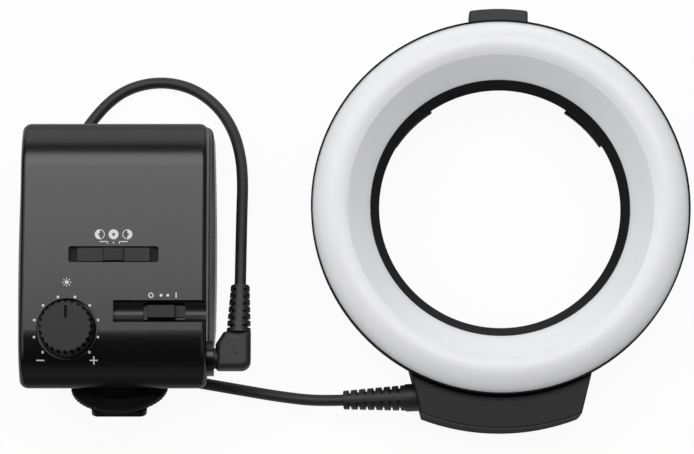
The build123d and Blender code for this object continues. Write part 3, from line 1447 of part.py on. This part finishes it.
# angled plug in the control unit's socket
plug_left = unit_x + rear_half + plug_nub_l
plug_low_y = jack_y - barrel_r
with BuildPart() as plug_body:
    with BuildSketch(Plane.XY.offset(jack_z - barrel_r)):
        with BuildLine():
            Polyline((plug_left, plug_low_y), (plug_right, plug_low_y), (plug_right, plug_high_y),
                     (plug_right - 2 * barrel_r - plug_shoulder, plug_high_y),
                     (plug_left, plug_high_y - plug_slant), close=True)
        make_face()
    extrude(amount=2 * barrel_r)
    uprights = plug_body.edges().filter_by(Axis.Z)
    outer_corner = uprights.sort_by_distance((plug_right, plug_low_y, jack_z))[0]
    fillet(outer_corner, plug_corner)
    fillet(plug_body.edges().filter_by(Axis.Z).filter_by(lambda e: e.center().X < plug_right - plug_corner - 1),
           plug_small_corner)
    rims = plug_body.edges().filter_by(lambda e: abs(e.center().Z - jack_z) > barrel_r - 0.1)
    fillet(rims, plug_edge)
    with BuildSketch(Plane.YZ.offset(unit_x + rear_half + fit_gap)):
        with Locations((jack_y, jack_z)):
            Circle(plug_nub_r)
    extrude(amount=plug_nub_l + plug_edge)
    # small dimple above the bend of the plug
    with BuildSketch(Plane.XY.offset(jack_z + barrel_r - plug_dimple[2])):
        with Locations((plug_right + plug_dimple[0][0], jack_y + plug_dimple[0][1])):
            Circle(plug_dimple[1])
    extrude(amount=2 * plug_dimple[2], mode=Mode.SUBTRACT)
plug_body.part.label = "plug_body"
export_step(plug_body.part, "parts/plug_body.step")

with BuildPart() as plug_tip:
    with BuildSketch(Plane.YZ.offset(unit_x + rear_half + fit_gap)):
        with Locations((jack_y, jack_z)):
            Circle(tip_r)
    extrude(amount=-tip_l)
    chamfer(plug_tip.faces().sort_by(Axis.X)[0].edges(), tip_edge)
plug_tip.part.label = "plug_tip"
export_step(plug_tip.part, "parts/plug_tip.step")

relief_low = Vector(plug_right - barrel_r, plug_high_y, jack_z)
relief_way = cord_points[-2] - cord_points[-1]
with BuildPart() as plug_strain_relief:
    with BuildSketch(square_plane(relief_low, Vector(0, 1, 0), Vector(1, 0, 0))):
        Circle(relief_low_r)
    with BuildSketch(square_plane(cord_points[-1], relief_way, Vector(1, 0, 0))):
        Circle(relief_high_r)
    loft()
    add(relief_slots(relief_low, cord_points[-1], Vector(0, 1, 0), relief_way.normalized(), relief_low_r,
                     relief_high_r, relief_rows, Vector(1, 0, 0)), mode=Mode.SUBTRACT)
plug_strain_relief.part.label = "plug_strain_relief"
export_step(plug_strain_relief.part, "parts/plug_strain_relief.step")

# the cord: straight runs joined by arcs as large as the runs allow
bend_radii = []
for before, corner, after in zip(cord_points, cord_points[1:], cord_points[2:]):
    run_in = corner - before
    run_out = after - corner
    half_turn = run_in.get_angle(run_out) / 2
    bend_radii.append(0.45 * min(run_in.length, run_out.length) / tan(radians(half_turn)))
print("cord radii", [round(radius, 1) for radius in bend_radii])

with BuildPart() as link_cord:
    with BuildLine() as cord_path:
        FilletPolyline(*cord_points, radius=bend_radii)
    with BuildSketch(square_plane(cord_points[0], cord_points[1] - cord_points[0], Vector(0, 1, 0))):
        Circle(cord_d / 2)
    sweep()
link_cord.part.label = "link_cord"
export_step(link_cord.part, "parts/link_cord.step")
cord_section = link_cord.faces().filter_by(GeomType.PLANE)[0].area
cord_l = sum(edge.length for edge in cord_path.edges())
print("cord length", round(cord_l, 1), "volume over section times length",
      round(link_cord.part.volume / cord_section / cord_l, 4))
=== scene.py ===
import math
import bmesh
import bpy
from mathutils import Matrix, Vector
from mathutils.bvhtree import BVHTree


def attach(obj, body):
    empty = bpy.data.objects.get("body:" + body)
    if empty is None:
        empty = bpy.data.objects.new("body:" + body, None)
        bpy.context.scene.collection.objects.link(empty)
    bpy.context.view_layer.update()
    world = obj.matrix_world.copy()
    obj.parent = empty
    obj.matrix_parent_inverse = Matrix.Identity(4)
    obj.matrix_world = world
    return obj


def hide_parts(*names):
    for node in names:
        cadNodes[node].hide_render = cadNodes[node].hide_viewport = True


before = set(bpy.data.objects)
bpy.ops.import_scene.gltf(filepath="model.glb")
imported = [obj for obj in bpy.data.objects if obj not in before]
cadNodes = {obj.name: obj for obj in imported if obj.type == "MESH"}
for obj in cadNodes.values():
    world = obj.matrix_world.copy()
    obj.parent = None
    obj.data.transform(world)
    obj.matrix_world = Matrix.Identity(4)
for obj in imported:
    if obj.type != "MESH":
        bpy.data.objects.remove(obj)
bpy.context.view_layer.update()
mm = 0.001
print("frame loaded,", len(cadNodes), "nodes")


# camera: above the table, leaning a little towards the lower edge of the picture

cameraView = {
    "target": (-52.2, -6.57, 20.0),   # mm, the point at the middle of the picture
    "distance": 1100.0,
    "elevation": 80.5,
    "mmPerPixel": 0.341,
    "pictureWidth": 694,
    "sensor": 36.0,
}


def makeCamera(view):
    data = bpy.data.cameras.new("pictureCamera")
    camera = bpy.data.objects.new("pictureCamera", data)
    bpy.context.scene.collection.objects.link(camera)
    rise = math.radians(view["elevation"])
    outward = Vector((0, -math.cos(rise), math.sin(rise)))
    camera.location = (Vector(view["target"]) + outward * view["distance"]) * mm
    camera.rotation_euler = (-outward).to_track_quat("-Z", "Y").to_euler()
    data.sensor_width = view["sensor"]
    data.lens = view["sensor"] * view["distance"] / (view["mmPerPixel"] * view["pictureWidth"])
    data.clip_start = 0.05
    data.clip_end = 20
    bpy.context.scene.camera = camera


makeCamera(cameraView)


# cord between the ring's boot and the angled plug, one spline: its ends follow the photograph,
# and the bend under the control unit, which the photograph doesn't show, is a guess

cordRoute = {
    "diameter": 3.9,
    "length": 312.0,
    "sides": 8,
    "points": (   # mm
        (-53.2, -64.7, 9.4), (-62.0, -64.88, 8.11), (-73.2, -63.4, 5.7), (-84.6, -61.3, 3.6),
        (-96.3, -59.1, 2.3), (-108.2, -57.0, 2.0), (-120.4, -55.5, 2.0), (-132.1, -55.3, 2.0),
        (-143.1, -53.5, 2.0), (-152.0, -47.2, 2.0), (-157.3, -38.0, 2.0), (-159.9, -27.0, 2.0),
        (-160.3, -15.4, 2.0), (-159.0, -3.6, 2.0), (-156.0, 8.0, 2.0), (-151.0, 19.2, 2.0),
        (-144.1, 29.5, 2.0), (-137.0, 39.1, 2.0), (-128.7, 45.5, 2.0), (-117.6, 48.0, 2.0),
        (-106.5, 45.8, 2.3), (-97.6, 39.3, 3.5), (-91.8, 30.3, 6.0), (-88.9, 20.2, 9.5),
        (-88.0, 10.2, 13.3), (-88.15, -1.2, 17.8), (-88.2, -14.3, 22.4), (-88.3, -28.0, 25.4)),
}


def makeCord(route):
    curve = bpy.data.curves.new("linkCordFlex", "CURVE")
    curve.dimensions = "3D"
    spline = curve.splines.new("NURBS")
    spline.points.add(len(route["points"]) - 1)
    for point, place in zip(spline.points, route["points"]):
        point.co = (*(Vector(place) * mm), 1)
        point.radius = route["diameter"] / 2 * mm
    spline.order_u = 3
    spline.use_endpoint_u = True
    spline.resolution_u = 10
    curve.bevel_depth = 1.0   # times each point's radius
    curve.bevel_resolution = route["sides"]
    curve.use_fill_caps = True
    cord = bpy.data.objects.new("linkCordFlex", curve)
    bpy.context.scene.collection.objects.link(cord)
    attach(cord, "light_and_unit")
    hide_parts("link_cord")
    return cord


linkCord = makeCord(cordRoute)
print("camera and cord made")


# finishes

def shade(red, green, blue):   # screen colour, 0 to 255, as Blender's linear colour
    parts = [c / 255 for c in (red, green, blue)]
    return tuple(c / 12.92 if c <= 0.04045 else ((c + 0.055) / 1.055) ** 2.4 for c in parts) + (1.0,)


class Wire:
    # one socket of a finish, with Python's operators on it
    def __init__(self, finish, socket):
        self.finish = finish
        self.socket = socket

    def maths(self, operation, first, second):
        return self.finish.node("Math", {"operation": operation}, {0: first, 1: second})[0]

    def __add__(self, other):
        return self.maths("ADD", self, other)

    def __radd__(self, other):
        return self.maths("ADD", other, self)

    def __sub__(self, other):
        return self.maths("SUBTRACT", self, other)

    def __rsub__(self, other):
        return self.maths("SUBTRACT", other, self)

    def __mul__(self, other):
        return self.maths("MULTIPLY", self, other)

    def __rmul__(self, other):
        return self.maths("MULTIPLY", other, self)

    def __truediv__(self, other):
        return self.maths("DIVIDE", self, other)

    def __gt__(self, other):
        return self.maths("GREATER_THAN", self, other)

    def __lt__(self, other):
        return self.maths("LESS_THAN", self, other)

    def power(self, other):
        return self.maths("POWER", self, other)


class Finish:
    # one material; node() adds any node to it and gives its outputs
    def __init__(self, name, **sockets):
        self.material = bpy.data.materials.new(name)
        self.material.use_nodes = True
        self.tree = self.material.node_tree
        self.shader = self.tree.nodes["Principled BSDF"]
        for socket, value in sockets.items():
            self.shader.inputs[socket.replace("_", " ")].default_value = value
        self.place = self.node("TexCoord")["Object"]

    def node(self, kind, settings=None, values=None):
        made = self.tree.nodes.new("ShaderNode" + kind)
        for name, value in (settings or {}).items():
            setattr(made, name, value)
        for name, value in (values or {}).items():
            self.set(made.inputs[name], value)
        return Outputs(self, made)

    def set(self, socket, value):
        if isinstance(value, Wire):
            self.tree.links.new(value.socket, socket)
        else:
            socket.default_value = value

    def feed(self, **sockets):
        for socket, value in sockets.items():
            self.set(self.shader.inputs[socket.replace("_", " ")], value)

    def noise(self, size, detail=2.0, roughness=0.5):   # size of a grain in millimetres
        values = {"Vector": self.place, "Scale": 1 / (size * mm), "Detail": detail, "Roughness": roughness}
        return self.node("TexNoise", None, values)["Fac"]

    def mixColour(self, factor, first, second):
        values = {"Factor": factor, 6: first, 7: second}
        return self.node("Mix", {"data_type": "RGBA"}, values)[2]

    def bump(self, height, depth):   # depth in millimetres
        values = {"Height": height, "Distance": depth * mm, "Strength": 1.0}
        return self.node("Bump", None, values)["Normal"]

    def axes(self):
        parts = self.node("SeparateXYZ", None, {0: self.place})
        return parts["X"], parts["Y"], parts["Z"]


class Outputs:
    def __init__(self, finish, made):
        self.finish = finish
        self.made = made

    def __getitem__(self, name):
        return Wire(self.finish, self.made.outputs[name])


mouldedPlastics = {   # colour, its patches, gloss, roughness from smooth to dull, grain in mm, depth in mm
    "housingBlack": ((11, 11, 12), (15, 15, 16), 0.30, 0.42, 0.50, 0.14, 0.007),
    "backBlack": ((8, 8, 9), (12, 12, 13), 0.12, 0.62, 0.72, 0.16, 0.008),
    "unitGrey": ((6, 6, 8), (9, 9, 11), 0.50, 0.22, 0.26, 0.14, 0.003),
    "controlBlack": ((11, 11, 12), (16, 16, 18), 0.34, 0.38, 0.46, 0.12, 0.005),
    "innerBlack": ((11, 11, 12), (16, 16, 17), 0.50, 0.50, 0.62, 0.20, 0.010),
}


recesses = {   # boxes in mm where the finish is duller: lowest and highest corners, added roughness
    "unitGrey": (((-146.0, -22.4, 30.0), (-114.6, -15.8, 39.0), 0.56),
                 ((-131.0, -42.4, 30.0), (-96.0, -34.2, 38.6), 0.10)),
    "controlBlack": (((-154.4, -53.1, 40.0), (-136.6, -35.3, 45.6), 0.40),
                     ((-146.0, -22.4, 30.0), (-114.6, -15.8, 39.4), 0.08)),
}


def mouldedPlastic(name):
    darker, lighter, gloss, smooth, dull, grain, depth = mouldedPlastics[name]
    finish = Finish(name, Specular_IOR_Level=gloss)
    patches = finish.noise(14.0, 3.0)
    handled = finish.noise(2.3, 4.0, 0.65)
    texture = finish.noise(grain, 2.0, 0.6)
    roughness = smooth + (dull - smooth) * (0.55 * handled + 0.45 * texture)
    for low, high, added in recesses.get(name, ()):
        inside = 1.0
        for place, start, end in zip(finish.axes(), low, high):
            inside = (place > start * mm) * (place < end * mm) * inside
        roughness = roughness + added * inside
    finish.feed(Base_Color=finish.mixColour(patches, shade(*darker), shade(*lighter)),
                Roughness=roughness, Normal=finish.bump(texture, depth))
    return finish.material


def rubber(name):
    finish = Finish(name)
    bloom = finish.noise(6.0, 4.0, 0.6)
    texture = finish.noise(0.25, 3.0, 0.6)
    finish.feed(Base_Color=finish.mixColour(bloom, shade(19, 19, 20), shade(29, 29, 31)),
                Roughness=0.42 + 0.16 * bloom,
                Normal=finish.bump(texture, 0.012))
    return finish.material


metalGrain = {"size": 0.15, "depth": 0.004, "spread": 0.12, "tarnish": 0.86}   # sizes in mm


def metal(name, colour, roughness, grain=metalGrain):
    finish = Finish(name, Metallic=1.0)
    streaks = finish.noise(grain["size"], 3.0, 0.6)
    tarnish = finish.noise(3.0, 3.0, 0.5)
    darker = shade(*[round(c * grain["tarnish"]) for c in colour])
    finish.feed(Base_Color=finish.mixColour(tarnish, darker, shade(*colour)),
                Roughness=roughness + grain["spread"] * (streaks - 0.5),
                Normal=finish.bump(streaks, grain["depth"]))
    return finish.material


diffuserLook = {
    # radii in mm between which the colour carries painted light on the inner slope and painted shade at
    # the outer rim
    "creaseR": 52.0,   # mm
    "innerR": 43.3,
    "rimR": 64.0,
    "rimWidth": 6.0,
    "white": (243, 243, 245),
    # lighter towards the inner edge: painted light on the inner slope
    "inner": (246, 247, 249),
    # a little darker over the outer rim: painted shade
    "rim": (240, 241, 243),
    "milky": 0.5,      # share of the light that goes through the skin
    "depth": 5.0,      # mm that it spreads
}


def diffuserWhite(look):
    finish = Finish("diffuserWhite", Coat_Roughness=0.18, Subsurface_Weight=look["milky"],
                    Subsurface_Radius=(1.0, 0.97, 0.94), Subsurface_Scale=look["depth"] * mm)
    across, along = finish.axes()[:2]
    radius = (across * across + along * along).power(0.5) / mm
    mist = finish.noise(0.5, 2.0, 0.5)
    cloud = finish.noise(22.0, 2.0, 0.5)
    # painted light and shade by radius: lighter from the crease to the inner edge, a little darker over
    # the outer rim
    innerPaintedLight = finish.node("MapRange", None, {"Value": radius, "From Min": look["creaseR"],
                                            "From Max": look["innerR"]})["Result"]
    outward = finish.node("MapRange", None, {"Value": radius, "From Min": look["rimR"] - look["rimWidth"],
                                             "From Max": look["rimR"]})["Result"]
    body = finish.mixColour(innerPaintedLight.power(1.6), shade(*look["white"]), shade(*look["inner"]))
    body = finish.mixColour(outward.power(2.0), body, shade(*look["rim"]))
    body = finish.mixColour(0.08 * cloud, body, shade(228, 230, 236))
    finish.feed(Base_Color=body, Roughness=0.34 + 0.10 * mist, Coat_Weight=0.12 + 0.06 * cloud,
                Normal=finish.bump(mist, 0.004))
    return finish.material


def circuitBoard(name):
    finish = Finish(name, Roughness=0.4)
    tracks = finish.node("TexBrick", {"offset": 0.5},
                         {"Vector": finish.place, "Scale": 260.0, "Mortar Size": 0.06,
                          "Color1": (0, 0, 0, 1), "Color2": (0.35, 0.35, 0.35, 1), "Mortar": (1, 1, 1, 1)})
    weave = finish.noise(0.3, 2.0)
    copper = tracks["Fac"]
    base = finish.mixColour(weave * 0.5, shade(14, 74, 44), shade(20, 92, 58))
    finish.feed(Base_Color=finish.mixColour(copper * 0.6, base, shade(60, 130, 84)),
                Normal=finish.bump(copper, 0.02))
    return finish.material


def ceramicLamp(name):
    finish = Finish(name)
    grain = finish.noise(0.2, 2.0)
    finish.feed(Base_Color=finish.mixColour(grain, shade(236, 226, 178), shade(246, 238, 200)),
                Roughness=0.45 + 0.15 * grain, Normal=finish.bump(grain, 0.005))
    return finish.material


def whitePlastic(name):
    finish = Finish(name)
    grain = finish.noise(0.4, 2.0)
    finish.feed(Base_Color=finish.mixColour(grain, shade(226, 226, 226), shade(238, 238, 238)),
                Roughness=0.3 + 0.1 * grain, Normal=finish.bump(grain, 0.004))
    return finish.material


def printedJacket(name):
    finish = Finish(name, Coat_Weight=0.3, Coat_Roughness=0.1)
    along = finish.axes()[1]
    sleeve = finish.noise(5.0, 2.0)
    band = finish.node("MapRange", {"interpolation_type": "SMOOTHSTEP"},
                       {"Value": along / mm, "From Min": -4.0, "From Max": -3.4})["Result"]
    body = finish.mixColour(sleeve, shade(34, 60, 110), shade(42, 70, 124))
    finish.feed(Base_Color=finish.mixColour(band, body, shade(176, 178, 182)),
                Roughness=0.3 + 0.1 * sleeve, Normal=finish.bump(sleeve, 0.01))
    return finish.material


def whiteInk(name):
    finish = Finish(name)
    wear = finish.noise(0.3, 3.0, 0.6)
    finish.feed(Base_Color=finish.mixColour(wear, shade(206, 206, 208), shade(236, 236, 236)),
                Roughness=0.5 + 0.15 * wear, Normal=finish.bump(wear, 0.004))
    return finish.material


finishes = {
    "housing": mouldedPlastic("housingBlack"),
    "back": mouldedPlastic("backBlack"),
    "unit": mouldedPlastic("unitGrey"),
    "control": mouldedPlastic("controlBlack"),
    "inner": mouldedPlastic("innerBlack"),
    "rubber": rubber("cordRubber"),
    "diffuser": diffuserWhite(diffuserLook),
    "board": circuitBoard("boardGreen"),
    "lamp": ceramicLamp("lampYellow"),
    "reflector": whitePlastic("reflectorWhite"),
    "steel": metal("screwSteel", (168, 168, 172), 0.34),
    "spring": metal("springSteel", (190, 190, 194), 0.26),
    "plated": metal("platedContact", (214, 212, 206), 0.18),
    "brass": metal("machinedBrass", (204, 172, 106), 0.30),
    "footMetal": metal("blackAnodised", (44, 44, 48), 0.38),
    "jacket": printedJacket("cellJacket"),
    "ink": whiteInk("whiteInk"),
}

nodeFinishes = {
    "housing": ("inner_barrel", "block_front_cover"),
    "back": ("ring_rear_housing",),
    "unit": ("front_shell", "rear_shell", "battery_door"),
    "control": ("release_button", "brightness_dial", "position_slider", "power_slider", "lock_wheel"),
    "inner": ("release_yoke", "battery_holder", "position_switch", "power_switch", "cord_socket",
              "driver_components", "board_components"),
    "rubber": ("ring_cable_boot", "plug_body", "plug_strain_relief", "link_cord"),
    "diffuser": ("diffuser",),
    "board": ("led_ring_board", "driver_board", "main_board"),
    "lamp": ("leds",),
    "reflector": ("reflector_tray",),
    "steel": ("ring_screws", "block_screws", "cable_retainer", "shell_screws", "main_board_screws",
              "foot_bracket", "foot_screws"),
    "spring": ("button_spring", "battery_springs"),
    "plated": ("battery_contacts", "plug_tip", "brightness_pot"),
    "brass": ("pot_shaft", "lock_insert"),
    "footMetal": ("shoe_foot", "lock_washer"),
    "jacket": ("battery_cells",),
}


def paint(thing, material):
    if not thing.data.materials:
        thing.data.materials.append(material)
    for index in range(len(thing.data.materials)):
        thing.data.materials[index] = material


for finishName, nodeNames in nodeFinishes.items():
    for nodeName in nodeNames:
        paint(cadNodes[nodeName], finishes[finishName])
paint(linkCord, finishes["rubber"])
print("finishes on", sum(len(names) for names in nodeFinishes.values()), "nodes")


# printed marks on the control unit's panel

panelMarks = {   # mm; places under a control's own name are measured from its centre
    "dial": (-145.75, -44.2),
    "dots": {"circle": 11.0, "size": 0.45, "angles": (15, 45, 75, 105, 135)},
    "signs": {"y": -10.4, "lessX": -8.6, "moreX": 9.2, "reach": 1.3, "gap": 0.2, "width": 0.4},
    "sun": {"y": 15.6, "radius": 0.62, "rays": 8, "rayFrom": 0.95, "rayTo": 1.5, "rayWidth": 0.26},
    "selector": (-130.3, -12.4),
    "icons": {"gap": 4.62, "radius": 1.68, "hole": 0.5, "outline": 0.25},
    "brackets": {"y": -2.45, "legTop": -2.3, "legEnd": -3.2, "legX": 1.95, "width": 0.3,
                 "middleTop": -2.5, "middleWidth": 0.35},
    "power": {"y": -33.0, "offX": -117.6, "onX": -109.2, "hole": 0.55, "radius": 0.9, "barWidth": 0.38,
              "dotX": (-114.2, -111.95), "dotSize": 0.48},
    "proud": 0.035,
    "sunk": 0.05,
    "longest": 0.96,   # edges above it are cut up, so that they follow the shell
}


class Ink:
    # flat marks, drawn at the panel's height and then laid on the shell
    def __init__(self):
        self.mesh = bmesh.new()

    def disc(self, x, y, radius, sides=20):
        bmesh.ops.create_circle(self.mesh, cap_ends=True, segments=sides, radius=radius,
                                matrix=Matrix.Translation((x, y, 0)))

    def ring(self, x, y, inner, outer, start=0.0, turn=360.0, sides=28):
        across, along = math.cos(math.radians(start)), math.sin(math.radians(start))
        edge = [self.mesh.verts.new((x + radius * across, y + radius * along, 0))
                for radius in (inner, outer)]
        line = self.mesh.edges.new(edge)
        bmesh.ops.spin(self.mesh, geom=[*edge, line], cent=(x, y, 0), axis=(0, 0, 1),
                       angle=math.radians(turn), steps=max(4, round(sides * turn / 360)),
                       use_merge=turn == 360.0, use_duplicate=False)

    def bar(self, start, end, width):
        start, end = Vector((*start, 0)), Vector((*end, 0))
        run = end - start
        side = run.cross(Vector((0, 0, 1))).normalized() * width / 2
        corners = [self.mesh.verts.new(p) for p in (start - side, end - side, end + side, start + side)]
        self.mesh.faces.new(corners)


def panelHeight():   # the shell's outside, straight down from above, in millimetres
    shell = bmesh.new()
    shell.from_mesh(cadNodes["front_shell"].data)
    tree = BVHTree.FromBMesh(shell)
    shell.free()

    def height(x, y):
        hit = tree.ray_cast(Vector((x * mm, y * mm, 0.1)), Vector((0, 0, -1)))
        return hit[0].z / mm
    return height


def layInk(name, ink, material, marks, height):
    flat = ink.mesh
    bmesh.ops.remove_doubles(flat, verts=flat.verts, dist=1e-5)
    longEdges = [e for e in flat.edges if e.calc_length() > marks["longest"]]
    if longEdges:
        bmesh.ops.subdivide_edges(flat, edges=longEdges, cuts=3, use_grid_fill=True)
    bmesh.ops.recalc_face_normals(flat, faces=flat.faces)
    made = bmesh.ops.extrude_face_region(flat, geom=flat.faces[:])
    upper = {v for v in made["geom"] if isinstance(v, bmesh.types.BMVert)}
    for vert in flat.verts:
        lift = marks["proud"] if vert in upper else -marks["sunk"]
        vert.co.z = height(vert.co.x, vert.co.y) + lift
    bmesh.ops.recalc_face_normals(flat, faces=flat.faces)
    bmesh.ops.scale(flat, vec=(mm, mm, mm), verts=flat.verts)
    data = bpy.data.meshes.new(name)
    flat.to_mesh(data)
    flat.free()
    piece = bpy.data.objects.new(name, data)
    bpy.context.scene.collection.objects.link(piece)
    paint(piece, material)
    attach(piece, "light_and_unit")


def markDial(marks):
    dialX, dialY = marks["dial"]
    look, dots = marks["dots"], Ink()
    for angle in look["angles"]:
        for side in (-1, 1):
            turn = math.radians(90 + side * angle)
            dots.disc(dialX + look["circle"] * math.cos(turn), dialY + look["circle"] * math.sin(turn),
                      look["size"], 14)

    look, signs = marks["signs"], Ink()   # less and more at the ends of the dial's travel
    y, less, more = dialY + look["y"], dialX + look["lessX"], dialX + look["moreX"]
    reach, gap, width = look["reach"], look["gap"], look["width"]
    signs.bar((less - reach, y), (less + reach, y), width)
    signs.bar((more - reach, y), (more + reach, y), width)
    signs.bar((more, y - reach), (more, y - gap), width)
    signs.bar((more, y + gap), (more, y + reach), width)

    look = marks["sun"]
    centre = Vector((dialX, dialY + look["y"]))
    signs.disc(*centre, look["radius"])
    for ray in range(look["rays"]):
        turn = math.radians(ray * 360 / look["rays"])
        way = Vector((math.cos(turn), math.sin(turn)))
        signs.bar(centre + way * look["rayFrom"], centre + way * look["rayTo"], look["rayWidth"])
    return dots, signs


def markSelector(marks):   # left half, whole ring, right half, with brackets to the slot
    middle, y = marks["selector"]
    look, legs, icons = marks["icons"], marks["brackets"], Ink()
    radius, hole = look["radius"], look["hole"]
    icons.ring(middle, y, hole, radius)
    for side in (-1, 1):
        x, legX = middle + side * look["gap"], middle + side * legs["legX"]
        icons.ring(x, y, hole, radius, 90 if side < 0 else -90, 180)
        icons.ring(x, y, radius - look["outline"], radius, -90 if side < 0 else 90, 180)
        icons.bar((x, y + legs["y"]), (legX, y + legs["y"]), legs["width"])
        icons.bar((legX, y + legs["legTop"]), (legX, y + legs["legEnd"]), legs["width"])
    icons.bar((middle, y + legs["middleTop"]), (middle, y + legs["legEnd"]), legs["middleWidth"])
    return icons


def markPower(marks):   # open circle for off, bar for on, two dots between them
    look, power = marks["power"], Ink()
    y, radius = look["y"], look["radius"]
    power.ring(look["offX"], y, look["hole"], radius)
    power.bar((look["onX"], y - radius), (look["onX"], y + radius), look["barWidth"])
    for x in look["dotX"]:
        power.disc(x, y, look["dotSize"], 14)
    return power


def markPanel(marks, material):
    height = panelHeight()
    dots, signs = markDial(marks)
    inks = {"dialDots": dots, "dialSigns": signs, "positionMarks": markSelector(marks),
            "powerMarks": markPower(marks)}
    for name, ink in inks.items():
        layInk(name, ink, material, marks, height)


markPanel(panelMarks, finishes["ink"])
print("panel marked")


# table, lamps and surroundings

studio = {
    "lookAt": (-40.0, -10.0, 20.0),
    "world": 0.04,
    "floorSize": 6.0,
    "floorWhite": (242, 242, 242),
    "shadowShare": 0.06,
    "mirrored": 0.24,   # how much of the plain white shows in gloss, past the table's real light
    "lamps": {   # azimuth and elevation in degrees, distance and size in metres, radiance
        "keyLamp": (180, 69.5, 1.5, (1.6, 0.74), 4.0),
        "backLamp": (180, 19, 2.0, (3.0, 1.2), 1.3),
        "leftLamp": (270, 48, 1.8, (2.0, 1.1), 1.25),
        "rightLamp": (90, 48, 1.8, (2.0, 1.1), 0.6),
        "frontLamp": (0, 22, 2.0, (2.4, 0.8), 0.22),
    },
}


def lightStage(look):
    world = bpy.data.worlds.new("studioWorld")
    world.use_nodes = True
    nodes, links = world.node_tree.nodes, world.node_tree.links
    back = nodes["Background"]
    back.inputs["Color"].default_value = (1, 1, 1, 1)
    back.inputs["Strength"].default_value = look["world"]
    seenBack = nodes.new("ShaderNodeBackground")   # what the camera sees past the table
    seenBack.inputs["Color"].default_value = (1, 1, 1, 1)
    mixed = nodes.new("ShaderNodeMixShader")
    links.new(nodes.new("ShaderNodeLightPath").outputs["Is Camera Ray"], mixed.inputs["Fac"])
    links.new(back.outputs[0], mixed.inputs[1])
    links.new(seenBack.outputs[0], mixed.inputs[2])
    links.new(mixed.outputs[0], nodes["World Output"].inputs["Surface"])
    bpy.context.scene.world = world

    for name, (azimuth, elevation, distance, size, radiance) in look["lamps"].items():
        data = bpy.data.lights.new(name, "AREA")
        data.shape = "RECTANGLE"
        data.size, data.size_y = size
        data.energy = radiance * math.pi * size[0] * size[1]
        lamp = bpy.data.objects.new(name, data)
        bpy.context.scene.collection.objects.link(lamp)
        turn, rise = math.radians(azimuth), math.radians(elevation)
        way = Vector((math.sin(turn) * math.cos(rise), -math.cos(turn) * math.cos(rise), math.sin(rise)))
        lamp.location = Vector(look["lookAt"]) * mm + way * distance
        lamp.rotation_euler = (-way).to_track_quat("-Z", "Y").to_euler()
        lamp.visible_camera = False

    table = bmesh.new()
    bmesh.ops.create_grid(table, x_segments=1, y_segments=1, size=look["floorSize"] / 2)
    data = bpy.data.meshes.new("studioTable")
    table.to_mesh(data)
    table.free()
    floor = bpy.data.objects.new("studioTable", data)
    bpy.context.scene.collection.objects.link(floor)
    finish = Finish("tableWhite", Roughness=0.7)
    finish.feed(Base_Color=shade(*look["floorWhite"]))
    seen = finish.node("LightPath")
    gloss = seen["Is Glossy Ray"] + seen["Is Transmission Ray"]
    factor = (1 - look["shadowShare"]) * seen["Is Camera Ray"] + look["mirrored"] * gloss
    glow = finish.node("Emission", None, {"Color": (1, 1, 1, 1), "Strength": 1.0})["Emission"]
    lit = Wire(finish, finish.shader.outputs[0])
    mixed = finish.node("MixShader", None, {"Fac": factor, 1: lit, 2: glow})
    output = finish.tree.nodes["Material Output"]
    finish.set(output.inputs["Surface"], mixed[0])
    paint(floor, finish.material)


lightStage(studio)
bpy.context.scene.view_settings.view_transform = "Standard"
print("stage set")
